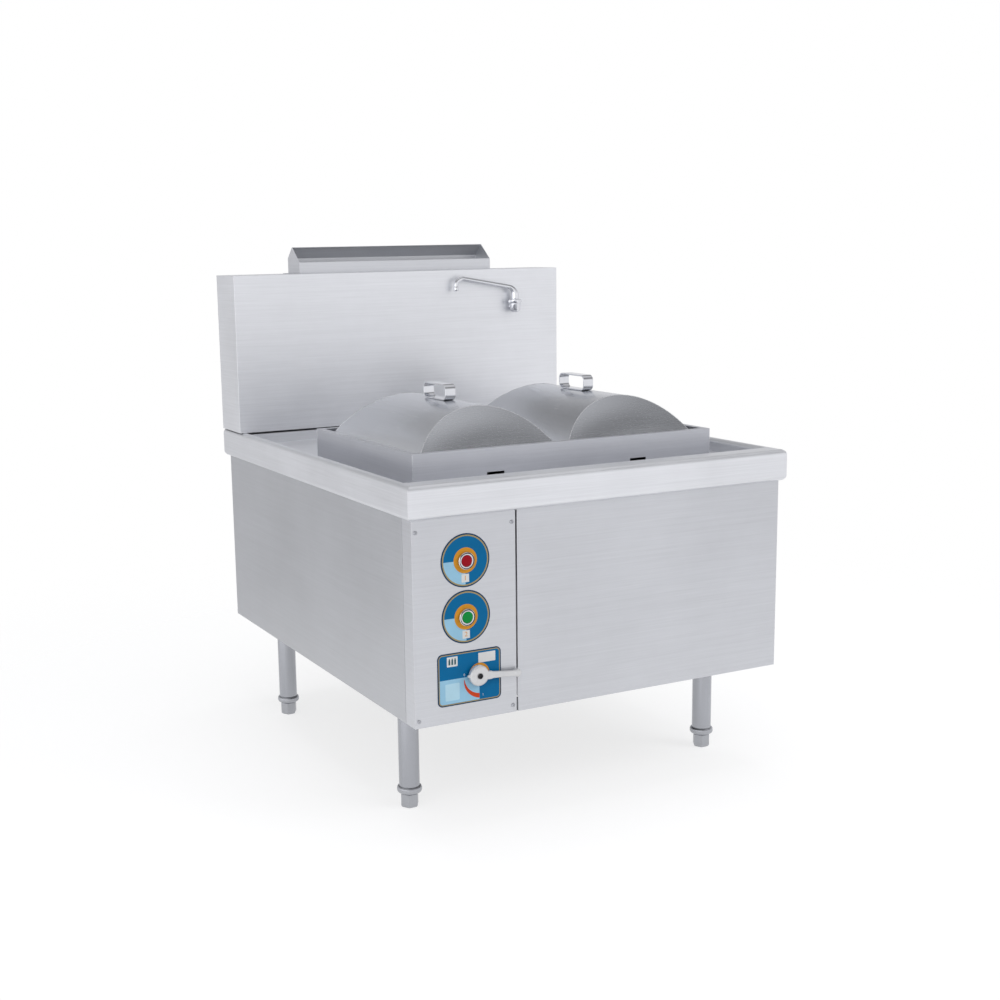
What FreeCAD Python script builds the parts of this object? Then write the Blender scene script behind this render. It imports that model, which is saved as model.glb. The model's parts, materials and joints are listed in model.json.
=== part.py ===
import FreeCAD, Part
import math
import os
import re
import Sketcher
from FreeCAD import Placement, Rotation, Vector

# Rice steaming stove: folded stainless sheet on an angle frame and four tube legs.
# Stove coordinates: X from the middle plane to the right, Y back from the apron's front face, Z up from the floor.
# The row frame is the same, with Y moved so that its origin lies under the middle of the bounding box.

DRIVING = {
    # overall form
    "half_width": 500, "depth": 1190, "rim_top": 785, "rim_bottom": 710, "body_bottom": 254,
    "lever_front": -8, "pipe_end": 1215,
    # pressed worktop
    "rim_sheet": 2, "rim_roll": 13, "lip_roll": 11, "lip_width": 26, "front_flange": 55, "flange_roll": 4,
    "well_floor": 754, "shelf_front": 1047, "shelf_top": 779.5, "curl_gap": 0.3,
    # panels
    "sheet": 1.5, "inset": 13, "panel_top": 740, "body_back": 1177, "hem": 16,
    "control_edge": -236.5, "front_edge": -232.5, "wrap_back": 58.5, "side_gap": 1.5,
    "screw_radius": 4.5, "screw_rise": 2.4, "screw_inset": 9, "screw_drop": 26, "screw_lift": 16,
    # angle frame
    "angle_width": 30, "angle_sheet": 3, "rail_top": 288, "rail_width": 30, "rail_front": 262,
    "rail_middle": 430, "rail_back": 612, "plate_top": 264, "plate_reach": 112, "plate_half": 53,
    # steam box, deck, trays and pan
    "box_half": 404, "box_front": 174, "box_back": 730, "box_top": 824.5, "box_flange": 15,
    "notch_half": 22.5, "notch_top": 769, "deck_top": 800, "deck_gap": 0.5,
    "seat_half": 160, "seat_front": 220, "seat_back": 684,
    "tray_rim": 7, "tray_play": 1, "tray_floor": 775, "slot_count": 8, "slot_width": 10, "slot_edge": 22,
    "pan_half": 386, "pan_front": 192, "pan_back": 712, "pan_floor": 500, "pan_rim": 400, "pan_play": 2, "pan_tuck": 4,
    # how far a cutting form stands past the sheet that it cuts
    "past": 5,
    # lids
    "lid_middle": 194, "lid_half": 177.5, "lid_radius": 208.6, "lid_crown": 911, "lid_spring": 812,
    "lid_front": 202.4, "lid_length": 499.2, "lid_rake": 65.3, "rake_slope": 0.66,
    "handle_width": 28, "handle_length": 118, "handle_rise": 39, "handle_strap": 3.2, "handle_round": 14,
    # splashback and flue
    "splash_top": 1206, "hood_half": 297, "hood_front": 1085, "hood_lip": 1236, "hood_peak": 1278,
    "hood_peak_back": 1138, "hood_shoulder": 1248, "hood_back": 1172, "hood_flange": 12,
    "duct_half": 290, "duct_front": 1087, "duct_back": 1142, "duct_play": 4, "throat_half": 120,
    "throat_low": 400, "throat_high": 480,
    # swing spout
    "tap_x": 346, "tap_back": 1025, "tap_low": 1082, "tap_radius": 15.5, "tap_foot": 12.5, "tap_bevel": 5,
    "tap_shoulder": 1107, "tap_level": 1096, "nipple_radius": 12.1, "socket_depth": 14,
    "nut_radius": 18, "nut_height": 12, "nut_lug": 22.5, "lug_half": 4, "lug_step": 2,
    "spout_stub": 6, "stub_length": 12, "spout_neck": 10.9, "neck_length": 21, "spout_pipe": 6,
    "spout_reach": 193, "spout_rise": 10, "neck_bend": 28, "tip_bend": 20, "nozzle_low": 1147,
    "nozzle_radius": 7, "tube_sides": 16, "bend_steps": 7, "running": 0.05, "lift": 0.3,
    # push buttons
    "dial_x": -360.5, "power_level": 612, "ignition_level": 487.5, "dial_radius": 59, "label_sheet": 0.8,
    "bezel_radius": 19, "bezel_rise": 8, "cup_radius": 12.65, "cup_depth": 7, "barrel_half": 11,
    "barrel_play": 0.2, "cap_radius": 12.5, "cap_front": 2.7, "cap_thick": 4.3, "plunger_half": 6,
    "plunger_end": 44, "well_end": 60, "switch_half": 20, "switch_back": 78, "turned_sides": 48,
    "disc_sides": 54,
    # lever valve
    "valve_x": -336.5, "valve_level": 355, "plate_left": -432, "plate_right": -276, "plate_low": 293,
    "plate_high": 411, "plate_round": 12, "stem_hole": 9, "hub_radius": 23, "hub_front": -5, "hub_back": 7,
    "lever_length": 105.5, "lever_droop": 5, "lever_root": 10, "lever_tip": 6.5, "lever_step": 2,
    "lever_thick": 9, "knob_radius": 9, "knob_thick": 11, "pointer": 29.5, "pointer_root": 9,
    "pointer_tip": 2, "pointer_thick": 6, "web_start": 12, "stem_radius": 6, "stem_end": 45,
    "valve_back": 62, "valve_half": 20, "seat_reach": 34, "seat_rise": 24, "seat_thick": 5,
    "outlet_radius": 14, "outlet_reach": 16, "outlet_back": 40,
    # gas and water pipes
    "gas_end": 13.2, "gas_run": 12, "gas_bore": 10.5, "gas_stand": 38, "water_end": 10.5, "water_run": 9.5,
    "water_bore": 8, "water_stand": 25, "hole_play": 1, "bore_rest": 3, "pipe_sides": 24,
    "feed_x": 250, "feed_radius": 10, "elbow_half": 13,
    # burner
    "fire_half": 230, "fire_front": 222, "fire_back": 682, "fire_wall": 3, "burner_half": 150,
    "burner_depth": 70, "burner_low": 315, "burner_high": 365, "throat_side": 25, "port_count": 9,
    "port_width": 6, "port_depth": 14, "port_edge": 12,
    # blower
    "fan_x": 385, "fan_level": 384, "fan_front": 397, "fan_back": 487, "fan_radius": 95, "fan_sheet": 2,
    "fan_sides": 16, "eye_half": 42, "wheel_radius": 75, "wheel_gap": 11, "blades": 8, "blade_sheet": 2,
    "hub_ring": 18, "motor_front": 300, "motor_radius": 50, "motor_wall": 30, "shaft_radius": 6,
    "air_low": 294, "air_high": 369, "air_left": 270, "air_inset": 5, "scroll_foot": 45,
    "scroll_step": 12,
    # drain, cable gland, electrical box
    "drain_x": 345, "drain_y": 560, "drain_low": 200, "drain_radius": 25, "drain_bore": 22,
    "gland_x": 250, "gland_level": 330, "gland_thread": 9.5, "gland_flange": 14, "gland_dome": 10.5,
    "gland_step": 6, "gland_rise": 12, "gland_reach": 14,
    "case_front": 150, "case_back": 350, "case_low": 450, "case_high": 650, "case_thick": 65,
    # legs
    "leg_x": 415, "leg_front": 203, "leg_rear": 983, "leg_radius": 24, "leg_bore": 22.3, "bore_sides": 16,
    "ring_radius": 29, "ring_low": 36, "ring_top": 53, "stud_radius": 8, "stud_bore": 8.6, "stud_sides": 12,
    "stud_top": 110, "foot_flats": 38, "foot_bevel": 6,
}

document = FreeCAD.newDocument("rice_steaming_stove")
sheet = document.addObject("Spreadsheet::Sheet", "sizes")
for row, (alias, value) in enumerate(DRIVING.items(), start=1):
    sheet.set(f"A{row}", alias)
    sheet.set(f"B{row}", str(value))
    sheet.setAlias(f"B{row}", alias)
document.recompute()

ORIGIN_BACK = "(lever_front + pipe_end) / 2"
SIZE_NAME = re.compile(r"\b(?!deg\b)[a-z][a-z_]*(?![a-z_(])")
TURNS = {
    "x": Rotation(Vector(0, 1, 0), 90),
    "y": Rotation(Vector(1, 0, 0), -90),
    "z": Rotation(),
}
pieces = []


def on_sheet(text):
    """Expression in which every size is read from the spreadsheet."""
    return SIZE_NAME.sub(r"sizes.\g<0>", str(text))


def size(alias):
    """Value of one size, for forms that are worked out here."""
    return float(sheet.get(alias))


def drive(item, prop, text):
    item.setExpression(prop, on_sheet(text))


def put(item, x, y, z, local=False):
    """Bind an object's place; stove coordinates unless it is built about its own origin."""
    back = y if local else f"({y}) - {ORIGIN_BACK}"
    drive(item, "Placement.Base.x", x)
    drive(item, "Placement.Base.y", back)
    drive(item, "Placement.Base.z", z)


def keep(item, label):
    """Take an object as a sub-part under its own name."""
    item.Label = label
    pieces.append(item)
    return item


def block(name, low, high, local=False):
    """Box between two corners."""
    box = document.addObject("Part::Box", name)
    for prop, start, end in zip(("Length", "Width", "Height"), low, high):
        drive(box, prop, f"({end}) - ({start})")
    put(box, *low, local)
    return box


def rod(name, start, radius, length, along="z", local=False):
    """Round bar from the middle of its first end."""
    bar = document.addObject("Part::Cylinder", name)
    bar.Placement = Placement(Vector(), TURNS[along])
    drive(bar, "Radius", radius)
    drive(bar, "Height", length)
    put(bar, *start, local)
    return bar


def facet_bar(name, start, radius, length, sides, along="z", local=False):
    """Bar of regular polygon section, its corners on the radius."""
    bar = document.addObject("Part::Prism", name)
    bar.Placement = Placement(Vector(), TURNS[along])
    drive(bar, "Polygon", sides)
    drive(bar, "Circumradius", radius)
    drive(bar, "Height", length)
    put(bar, *start, local)
    return bar


def fuse(name, *shapes):
    """Weld shapes one after another, with flush faces merged at every step."""
    joined = shapes[0]
    for index, shape in enumerate(shapes[1:], start=1):
        pair = document.addObject("Part::Fuse", f"{name}_{index}")
        pair.Base = joined
        pair.Tool = shape
        pair.Refine = True
        joined = pair
    return joined


def cut(name, base, *tools):
    result = document.addObject("Part::Cut", name)
    result.Base = base
    result.Tool = tools[0] if len(tools) == 1 else fuse(name + "_tools", *tools)
    return result


def sketch_on(body, role, lift):
    """Sketch on one of the body's own origin planes, raised along its normal."""
    sketch = body.newObject("Sketcher::SketchObject", body.Name + "_sketch")
    plane = next(item for item in body.Origin.OriginFeatures if item.Role == role)
    sketch.AttachmentSupport = [(plane, "")]
    sketch.MapMode = "FlatFace"
    drive(sketch, "AttachmentOffset.Base.z", lift)
    return sketch


def hold(sketch, kind, line, text, rough):
    index = sketch.addConstraint(Sketcher.Constraint(kind, -1, 1, line, 1, rough))
    drive(sketch, f"Constraints[{index}]", text)


def outline(sketch, corners):
    """Closed run of lines; it starts as a rough polygon and the sheet pulls each corner to its place."""
    count = len(corners)
    spread = 2 * math.pi / count
    rough = [Vector(math.cos(k * spread), math.sin(k * spread), 0) * 50 for k in range(count)]
    for k, (across, up) in enumerate(corners):
        sketch.addGeometry(Part.LineSegment(rough[k], rough[(k + 1) % count]))
        hold(sketch, "DistanceX", k, across, rough[k].x)
        hold(sketch, "DistanceY", k, up, rough[k].y)
    for k in range(count):
        sketch.addConstraint(Sketcher.Constraint("Coincident", k, 2, (k + 1) % count, 1))


def rectangle(left, low, right, high):
    return [(left, low), (right, low), (right, high), (left, high)]


def padded(name, role, corners, length, lift="0", place=("0", "0", "0"), local=False):
    """Body padded from a straight-sided outline."""
    body = document.addObject("PartDesign::Body", name)
    sketch = sketch_on(body, role, lift)
    outline(sketch, corners)
    pad = body.newObject("PartDesign::Pad", name + "_pad")
    pad.Profile = sketch
    drive(pad, "Length", length)
    put(body, *place, local)
    document.recompute()
    return body


def edges_where(body, chosen):
    """The body's last form and the names of its edges whose middle point passes the test."""
    base = body.Tip
    names = []
    for index, edge in enumerate(base.Shape.Edges, start=1):
        if chosen(edge.CenterOfMass):
            names.append(f"Edge{index}")
    return base, names


def roll(body, radius, chosen):
    """Round the chosen edges."""
    edges = edges_where(body, chosen)
    fillet = body.newObject("PartDesign::Fillet", body.Name + "_roll")
    fillet.Base = edges
    drive(fillet, "Radius", radius)
    document.recompute()
    return body


def bevel(body, width, chosen):
    """Bevel the chosen edges."""
    edges = edges_where(body, chosen)
    chamfer = body.newObject("PartDesign::Chamfer", body.Name + "_bevel")
    chamfer.Base = edges
    drive(chamfer, "Size", width)
    document.recompute()
    return body


def near(value, alias, offset=0.0):
    return abs(value - size(alias) - offset) < 0.5


def common(name, *shapes):
    shared = document.addObject("Part::MultiCommon", name)
    shared.Shapes = list(shapes)
    return shared


def lip_corner(name, low, high, centre, radius, length, along):
    """Corner that a rounded lip leaves free: a square bar less the round bar inside it."""
    return cut(name, block(name + "_square", low, high), rod(name + "_round", centre, radius, length, along))


def worktop_form(name, skin):
    """Outer form of the worktop, drawn in on every side by the sheet when it is the hollow below."""
    half = f"half_width - {skin}"
    back = f"depth - {skin}"
    low = f"rim_bottom + {skin}"
    top = f"rim_top - {skin}"
    inward = 0.0 if skin == "0" else size(skin)
    rolled = f"rim_roll - {skin}"

    across = padded(name + "_across", "XZ_Plane", rectangle(f"-({half})", low, half, top),
                    f"depth - 2 * {skin}", lift=f"-({back})")
    roll(across, rolled, lambda point: near(abs(point.x), "half_width", -inward)
         and (near(point.z, "rim_top", -inward) or near(point.z, "rim_bottom", inward)))
    along = padded(name + "_along", "YZ_Plane", rectangle(skin, low, back, top),
                   f"2 * ({half})", lift=f"-({half})")
    roll(along, rolled, lambda point: abs(point.x) < 0.5 and (
        near(point.z, "rim_bottom", inward) or (near(point.z, "rim_top", -inward) and point.y < inward + 1)))

    wall = f"half_width - lip_width + {skin}"
    lip = f"lip_roll - {skin}"
    lip_middle = "half_width - lip_width + lip_roll"
    lip_low = "rim_top - lip_roll"
    front = f"front_flange - {skin}"
    flange = f"flange_roll - {skin}"
    flange_middle = "front_flange - flange_roll"
    tools = [
        block(name + "_well", (f"-({wall})", front, f"well_floor - {skin}"),
              (wall, f"shelf_front + {skin}", "rim_top + 1")),
        block(name + "_shelf", (f"-({wall})", "shelf_front", f"shelf_top - {skin}"),
              (wall, "depth + 1", "rim_top + 1")),
        lip_corner(name + "_lip_left", (f"-({lip_middle})", front, lip_low), (f"-({wall})", back, "rim_top + 1"),
                   (f"-({lip_middle})", f"{front} - 1", lip_low), lip, "depth", "y"),
        lip_corner(name + "_lip_right", (wall, front, lip_low), (lip_middle, back, "rim_top + 1"),
                   (lip_middle, f"{front} - 1", lip_low), lip, "depth", "y"),
        lip_corner(name + "_flange", (f"-({wall})", flange_middle, "rim_top - flange_roll"),
                   (wall, front, "rim_top + 1"), (f"-({wall}) - 1", flange_middle, "rim_top - flange_roll"),
                   flange, f"2 * ({wall}) + 2", "x"),
    ]
    form = common(name + "_blank", across, along)
    for index, tool in enumerate(tools):
        form = cut(f"{name}_{index}", form, tool)
    return form


def make_worktop():
    """Pressed sheet: rolled apron, side lips, well and the shelf that carries the splashback."""
    opening = "half_width - inset + curl_gap"
    below = block("worktop_below", (f"-({opening})", "inset - curl_gap", "rim_bottom - 1"),
                  (opening, "body_back + curl_gap", "rim_bottom + rim_sheet + 1"))
    pan = block("worktop_pan_hole", ("-pan_half - pan_play", "pan_front - pan_play", "well_floor - rim_sheet - 1"),
                ("pan_half + pan_play", "pan_back + pan_play", "well_floor + 1"))
    flue = block("worktop_flue_hole", ("-duct_half - duct_play", "duct_front - duct_play",
                                       "shelf_top - rim_sheet - 1"),
                 ("duct_half + duct_play", "duct_back + duct_play", "shelf_top + 1"))
    skin = cut("worktop_skin", worktop_form("worktop_outer", "0"), worktop_form("worktop_hollow", "rim_sheet"))
    keep(cut("worktop_cut", skin, below, pan, flue), "worktop")


def sorted_pair(rising, first, second):
    """Two levels with the lower one first."""
    return (first, second) if rising else (second, first)


def angle_ring(name, low, flange_low, half, front, back):
    """Ring of angle section: an upright web along the outside and a flat flange on the level given."""
    high = f"{low} + angle_width"
    outer = block(name + "_outer", (f"-({half})", front, low), (half, back, high))
    wall = block(name + "_wall", (f"-({half}) + angle_sheet", f"{front} + angle_sheet", f"{low} - 1"),
                 (f"{half} - angle_sheet", f"{back} - angle_sheet", f"{high} + 1"))
    flange = block(name + "_flange", (f"-({half})", front, flange_low),
                   (half, back, f"{flange_low} + angle_sheet"))
    hole = block(name + "_hole", (f"-({half}) + angle_width", f"{front} + angle_width", f"{low} - 1"),
                 (f"{half} - angle_width", f"{back} - angle_width", f"{high} + 1"))
    return cut(name + "_ring", fuse(name + "_angle", cut(name + "_web", outer, wall), flange), hole)


def make_frame():
    """Angle frame: a base ring with cross rails and leg plates, and posts with a top ring."""
    half = "half_width - inset - sheet"
    front = "inset + sheet"
    back = "body_back - sheet"
    base = "body_bottom + 2"
    seat = f"{base} + angle_sheet"

    parts = [angle_ring("base", base, base, half, front, back)]
    for name, start in (("front", "rail_front"), ("middle", "rail_middle"), ("back", "rail_back")):
        bar = block(f"rail_{name}_bar", (f"-({half}) + angle_sheet", start, seat),
                    (f"{half} - angle_sheet", f"{start} + rail_width", "rail_top"))
        under = block(f"rail_{name}_under", (f"-({half})", f"{start} + angle_sheet", f"{seat} - 1"),
                      (half, f"{start} + rail_width + 1", "rail_top - angle_sheet"))
        parts.append(cut(f"rail_{name}", bar, under))
    for end, leg in (("front", "leg_front"), ("rear", "leg_rear")):
        parts.append(block(f"plate_left_{end}", (f"-({half}) + angle_sheet", f"{leg} - plate_half", seat),
                           (f"-({half}) + plate_reach", f"{leg} + plate_half", "plate_top")))
        parts.append(block(f"plate_right_{end}", (f"{half} - plate_reach", f"{leg} - plate_half", seat),
                           (f"{half} - angle_sheet", f"{leg} + plate_half", "plate_top")))
    keep(fuse("base_frame_weld", *parts), "base_frame")

    top = "well_floor - rim_sheet - angle_width"
    low = f"{base} + angle_width"
    posts = [angle_ring("top", top, f"{top} + angle_width - angle_sheet", half, front, back)]
    for side in ("left", "right"):
        wall, web, reach = (half, f"{half} - angle_sheet", f"{half} - angle_width")
        if side == "left":
            wall, web, reach = (f"-({half})", f"-({half}) + angle_sheet", f"-({half}) + angle_width")
        for end in ("front", "rear"):
            face, leaf, deep = (back, f"{back} - angle_sheet", f"{back} - angle_width")
            if end == "front":
                face, leaf, deep = (front, f"{front} + angle_sheet", f"{front} + angle_width")
            across = sorted_pair(side == "left", wall, web)
            spread = sorted_pair(side == "left", wall, reach)
            thin = sorted_pair(end == "front", face, leaf)
            tall = sorted_pair(end == "front", face, deep)
            name = f"post_{side}_{end}"
            posts.append(block(name + "_side", (across[0], tall[0], low), (across[1], tall[1], top)))
            posts.append(block(name + "_face", (spread[0], thin[0], low), (spread[1], thin[1], top)))
    keep(fuse("upper_frame_weld", *posts), "upper_frame")


def make_panels():
    """Folded panels with a hem at the bottom; the two front panels wrap the front corners."""
    half = "half_width - inset"
    front = "inset"

    def front_sheet(name, left, right):
        return block(name, (left, front, "body_bottom"), (right, f"{front} + sheet", "panel_top"))

    def wrap(name, left, right):
        return block(name, (left, front, "body_bottom"), (right, "wrap_back", "panel_top"))

    def hem_strip(name, low, high):
        return block(name, (*low, "body_bottom"), (*high, "body_bottom + sheet"))

    def square_hole(name, x, level, reach):
        return block(name, (f"{x} - ({reach})", f"{front} - 1", f"{level} - ({reach})"),
                     (f"{x} + {reach}", f"{front} + sheet + 1", f"{level} + {reach}"))

    face = front_sheet("control_face", f"-({half})", "control_edge")
    corner = wrap("control_wrap", f"-({half})", f"-({half}) + sheet")
    foot = hem_strip("control_hem", (f"-({half})", front), ("control_edge", f"{front} + hem"))
    holes = [
        square_hole("hole_power", "dial_x", "power_level", "barrel_half + barrel_play"),
        square_hole("hole_ignition", "dial_x", "ignition_level", "barrel_half + barrel_play"),
        square_hole("hole_valve", "valve_x", "valve_level", "stem_hole"),
    ]
    keep(cut("control_panel_cut", fuse("control_fold", face, corner, foot), *holes), "control_panel")

    base_clear = "body_bottom + angle_width + 4"
    top_clear = "well_floor - rim_sheet - angle_width - 2"
    keep(fuse("front_panel_fold", front_sheet("front_face", "front_edge", half),
              wrap("front_wrap", f"{half} - sheet", half),
              hem_strip("front_hem", ("front_edge", front), (half, f"{front} + hem")),
              block("front_return", ("front_edge", front, base_clear),
                    ("front_edge + sheet", f"{front} + hem", top_clear))), "front_panel")
    start = "wrap_back + side_gap"
    for side, outside, inside, hem_low, hem_high in (
            ("left", f"-({half})", f"-({half}) + sheet", f"-({half})", f"-({half}) + hem"),
            ("right", f"{half} - sheet", half, f"{half} - hem", half)):
        keep(fuse(f"{side}_panel_fold",
                  block(f"{side}_face", (outside, start, "body_bottom"), (inside, "body_back", "panel_top")),
                  hem_strip(f"{side}_hem", (hem_low, start), (hem_high, "body_back - sheet"))),
             f"{side}_panel")

    rear = block("rear_face", (f"-({half}) + sheet", "body_back - sheet", "body_bottom"),
                 (f"{half} - sheet", "body_back", "panel_top"))
    behind = "body_back - sheet - 1"
    gas = rod("hole_gas", ("valve_x", behind, "valve_level"), "gas_run + hole_play", "sheet + 2", "y")
    gland = facet_bar("hole_gland", ("gland_x", behind, "gland_level"), "gland_thread + hole_play",
                      "sheet + 2", "pipe_sides", "y")
    keep(cut("rear_panel_cut", rear, gas, gland), "rear_panel")

    heads = []
    for side, x in (("left", f"-({half}) + screw_inset"), ("right", "control_edge - screw_inset")):
        for name, level in (("upper", "rim_bottom - screw_drop"), ("lower", "body_bottom + screw_lift")):
            heads.append(facet_bar(f"screw_{side}_{name}", (x, f"{front} - screw_rise", level),
                                   "screw_radius", "screw_rise", "stud_sides", "y"))
    keep(fuse("panel_screw_heads", *heads), "panel_screws")


def make_steam_box():
    """Welded collar with a top flange folded inward and two drain notches in its front wall."""
    outer = block("collar_outer", ("-box_half", "box_front", "well_floor"), ("box_half", "box_back", "box_top"))
    inner = block("collar_inner", ("-box_half + sheet", "box_front + sheet", "well_floor - 1"),
                  ("box_half - sheet", "box_back - sheet", "box_top - sheet"))
    mouth = block("collar_mouth", ("-box_half + box_flange", "box_front + box_flange", "box_top - past"),
                  ("box_half - box_flange", "box_back - box_flange", "box_top + 1"))
    notches = []
    for side in ("left", "right"):
        middle = "-lid_middle" if side == "left" else "lid_middle"
        notches.append(block(f"notch_{side}", (f"{middle} - notch_half", "box_front - 1", "well_floor - 1"),
                             (f"{middle} + notch_half", "box_front + sheet + 1", "notch_top")))
    keep(cut("steam_box_cut", outer, inner, mouth, *notches), "steam_box")


def make_deck():
    """Folded deck that seats the lids; it stands on the pan's flange inside the collar."""
    low = "well_floor + sheet"
    gap = "(sheet + deck_gap)"
    outer = block("deck_outer", (f"-box_half + {gap}", f"box_front + {gap}", low),
                  (f"box_half - {gap}", f"box_back - {gap}", "deck_top"))
    inner = block("deck_inner", (f"-box_half + {gap} + sheet", "box_front", f"{low} - 1"),
                  (f"box_half - {gap} - sheet", f"box_back - {gap} - sheet", "deck_top - sheet"))
    seats = []
    for side, middle in (("left", "-lid_middle"), ("right", "lid_middle")):
        seats.append(block(f"seat_{side}", (f"{middle} - seat_half", "seat_front", "deck_top - past"),
                           (f"{middle} + seat_half", "seat_back", "deck_top + 1")))
    keep(cut("seat_deck_cut", outer, inner, *seats), "seat_deck")


def make_tray(side, middle):
    """Slotted steam tray hung in its deck opening by a flat rim."""
    play = "seat_half - tray_play"
    rim = block(f"tray_rim_{side}", (f"{middle} - seat_half - tray_rim", "seat_front - tray_rim", "deck_top"),
                (f"{middle} + seat_half + tray_rim", "seat_back + tray_rim", "deck_top + sheet"))
    shell = block(f"tray_shell_{side}", (f"{middle} - ({play})", "seat_front + tray_play", "tray_floor"),
                  (f"{middle} + {play}", "seat_back - tray_play", "deck_top + sheet"))
    hollow = block(f"tray_hollow_{side}", (f"{middle} - ({play}) + sheet", "seat_front + tray_play + sheet",
                                           "tray_floor + sheet"),
                   (f"{middle} + {play} - sheet", "seat_back - tray_play - sheet", "deck_top + sheet + 1"))
    tools = [hollow]
    for index in range(int(size("slot_count"))):
        middle_y = f"seat_front + (seat_back - seat_front) * ({index} + 0.5) / slot_count"
        tools.append(block(f"tray_slot_{side}_{index}",
                           (f"{middle} - seat_half + slot_edge", f"{middle_y} - slot_width / 2", "tray_floor - 1"),
                           (f"{middle} + seat_half - slot_edge", f"{middle_y} + slot_width / 2",
                            "tray_floor + sheet + 1")))
    keep(cut(f"steam_tray_{side}_cut", fuse(f"tray_sheet_{side}", rim, shell), *tools), f"steam_tray_{side}")


def make_pan():
    """Water pan hung by its flange in the worktop opening, with a drain pipe under it."""
    flange = block("pan_flange", ("-pan_rim", "box_front + pan_tuck", "well_floor"),
                   ("pan_rim", "box_back - pan_tuck", "well_floor + sheet"))
    outer = block("pan_outer", ("-pan_half", "pan_front", "pan_floor"), ("pan_half", "pan_back", "well_floor"))
    inner = block("pan_inner", ("-pan_half + sheet", "pan_front + sheet", "pan_floor + sheet"),
                  ("pan_half - sheet", "pan_back - sheet", "well_floor + past"))
    drain = facet_bar("pan_drain_hole", ("drain_x", "drain_y", "pan_floor - 1"), "drain_bore", "sheet + 2",
                      "pipe_sides")
    keep(cut("water_pan_cut", fuse("pan_sheet", flange, outer), inner, drain), "water_pan")
    spigot = rod("drain_outer", ("drain_x", "drain_y", "drain_low"), "drain_radius", "pan_floor - drain_low")
    bore = facet_bar("drain_inner", ("drain_x", "drain_y", "drain_low - 1"), "drain_bore",
                     "pan_floor - drain_low + 2", "pipe_sides")
    keep(cut("drain_pipe_cut", spigot, bore), "drain_pipe")


def vault(name, middle, skin):
    """Raked prism trimmed by a cylinder: the lid's outer form, or its inside when drawn in by the sheet."""
    slant = f"{skin} * sqrt(1 + rake_slope ^ 2)"
    height = f"lid_crown - lid_spring + {skin}"
    run = f"lid_rake + {skin} * rake_slope"
    skirt = f"deck_top - lid_spring - {skin}"
    near_end = slant
    far_end = f"lid_length - {slant}"
    corners = [
        (near_end, skirt), (far_end, skirt), (far_end, "0"), (f"{far_end} - {run}", height),
        (f"{near_end} + {run}", height), (near_end, "0"),
    ]
    half = f"lid_half - {skin}"
    prism = padded(name + "_prism", "YZ_Plane", corners, f"2 * ({half})", lift=f"-({half})",
                   place=(middle, "lid_front", "lid_spring"))
    barrel = rod(name + "_barrel", (middle, "lid_front - past", "lid_crown - lid_radius"),
                 f"lid_radius - {skin}", "lid_length + 2 * past", "y")
    return common(name, prism, barrel)


def make_lid(side, middle):
    """Rolled vault with raked end plates, and the bent strap handle welded on its crest."""
    keep(cut(f"lid_{side}_cut", vault(f"vault_outer_{side}", middle, "0"),
             vault(f"vault_inner_{side}", middle, "sheet")), f"lid_{side}")

    def loop(name, inward):
        reach = f"handle_length / 2 - {inward}"
        corners = rectangle(f"-({reach})", inward, reach, f"handle_rise - {inward}")
        body = padded(name, "YZ_Plane", corners, "handle_width", lift="-handle_width / 2",
                      place=(middle, "lid_front + lid_length / 2", "lid_crown"))
        return roll(body, f"handle_round - {inward}", lambda point: abs(point.x) < 0.5)

    keep(cut(f"handle_{side}_cut", loop(f"strap_outer_{side}", "0"),
             loop(f"strap_inner_{side}", "handle_strap")), f"lid_handle_{side}")


def make_splashback():
    """Folded splashback shell with a rear cover."""
    outer = block("splash_outer", ("-half_width", "shelf_front", "rim_top"),
                  ("half_width", "depth - sheet", "splash_top"))
    inner = block("splash_inner", ("-half_width + sheet", "shelf_front + sheet", "rim_top - 1"),
                  ("half_width - sheet", "depth + 1", "splash_top - sheet"))
    flue = block("splash_flue_hole", ("-duct_half + sheet", "duct_front + sheet", "splash_top - sheet - 1"),
                 ("duct_half - sheet", "duct_back - sheet", "splash_top + 1"))
    tap = facet_bar("splash_tap_hole", ("tap_x", "shelf_front - 1", "tap_level"), "water_run + lift",
                    "sheet + 2", "pipe_sides", "y")
    keep(cut("splashback_cut", outer, inner, flue, tap), "splashback")
    cover = block("splashback_cover_sheet", ("-half_width", "depth - sheet", "rim_top"),
                  ("half_width", "depth", "splash_top"))
    port = facet_bar("splash_water_hole", ("tap_x", "depth - sheet - 1", "tap_level"), "water_run + lift",
                     "sheet + 2", "pipe_sides", "y")
    keep(cut("splashback_cover_cut", cover, port), "splashback_cover")


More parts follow.
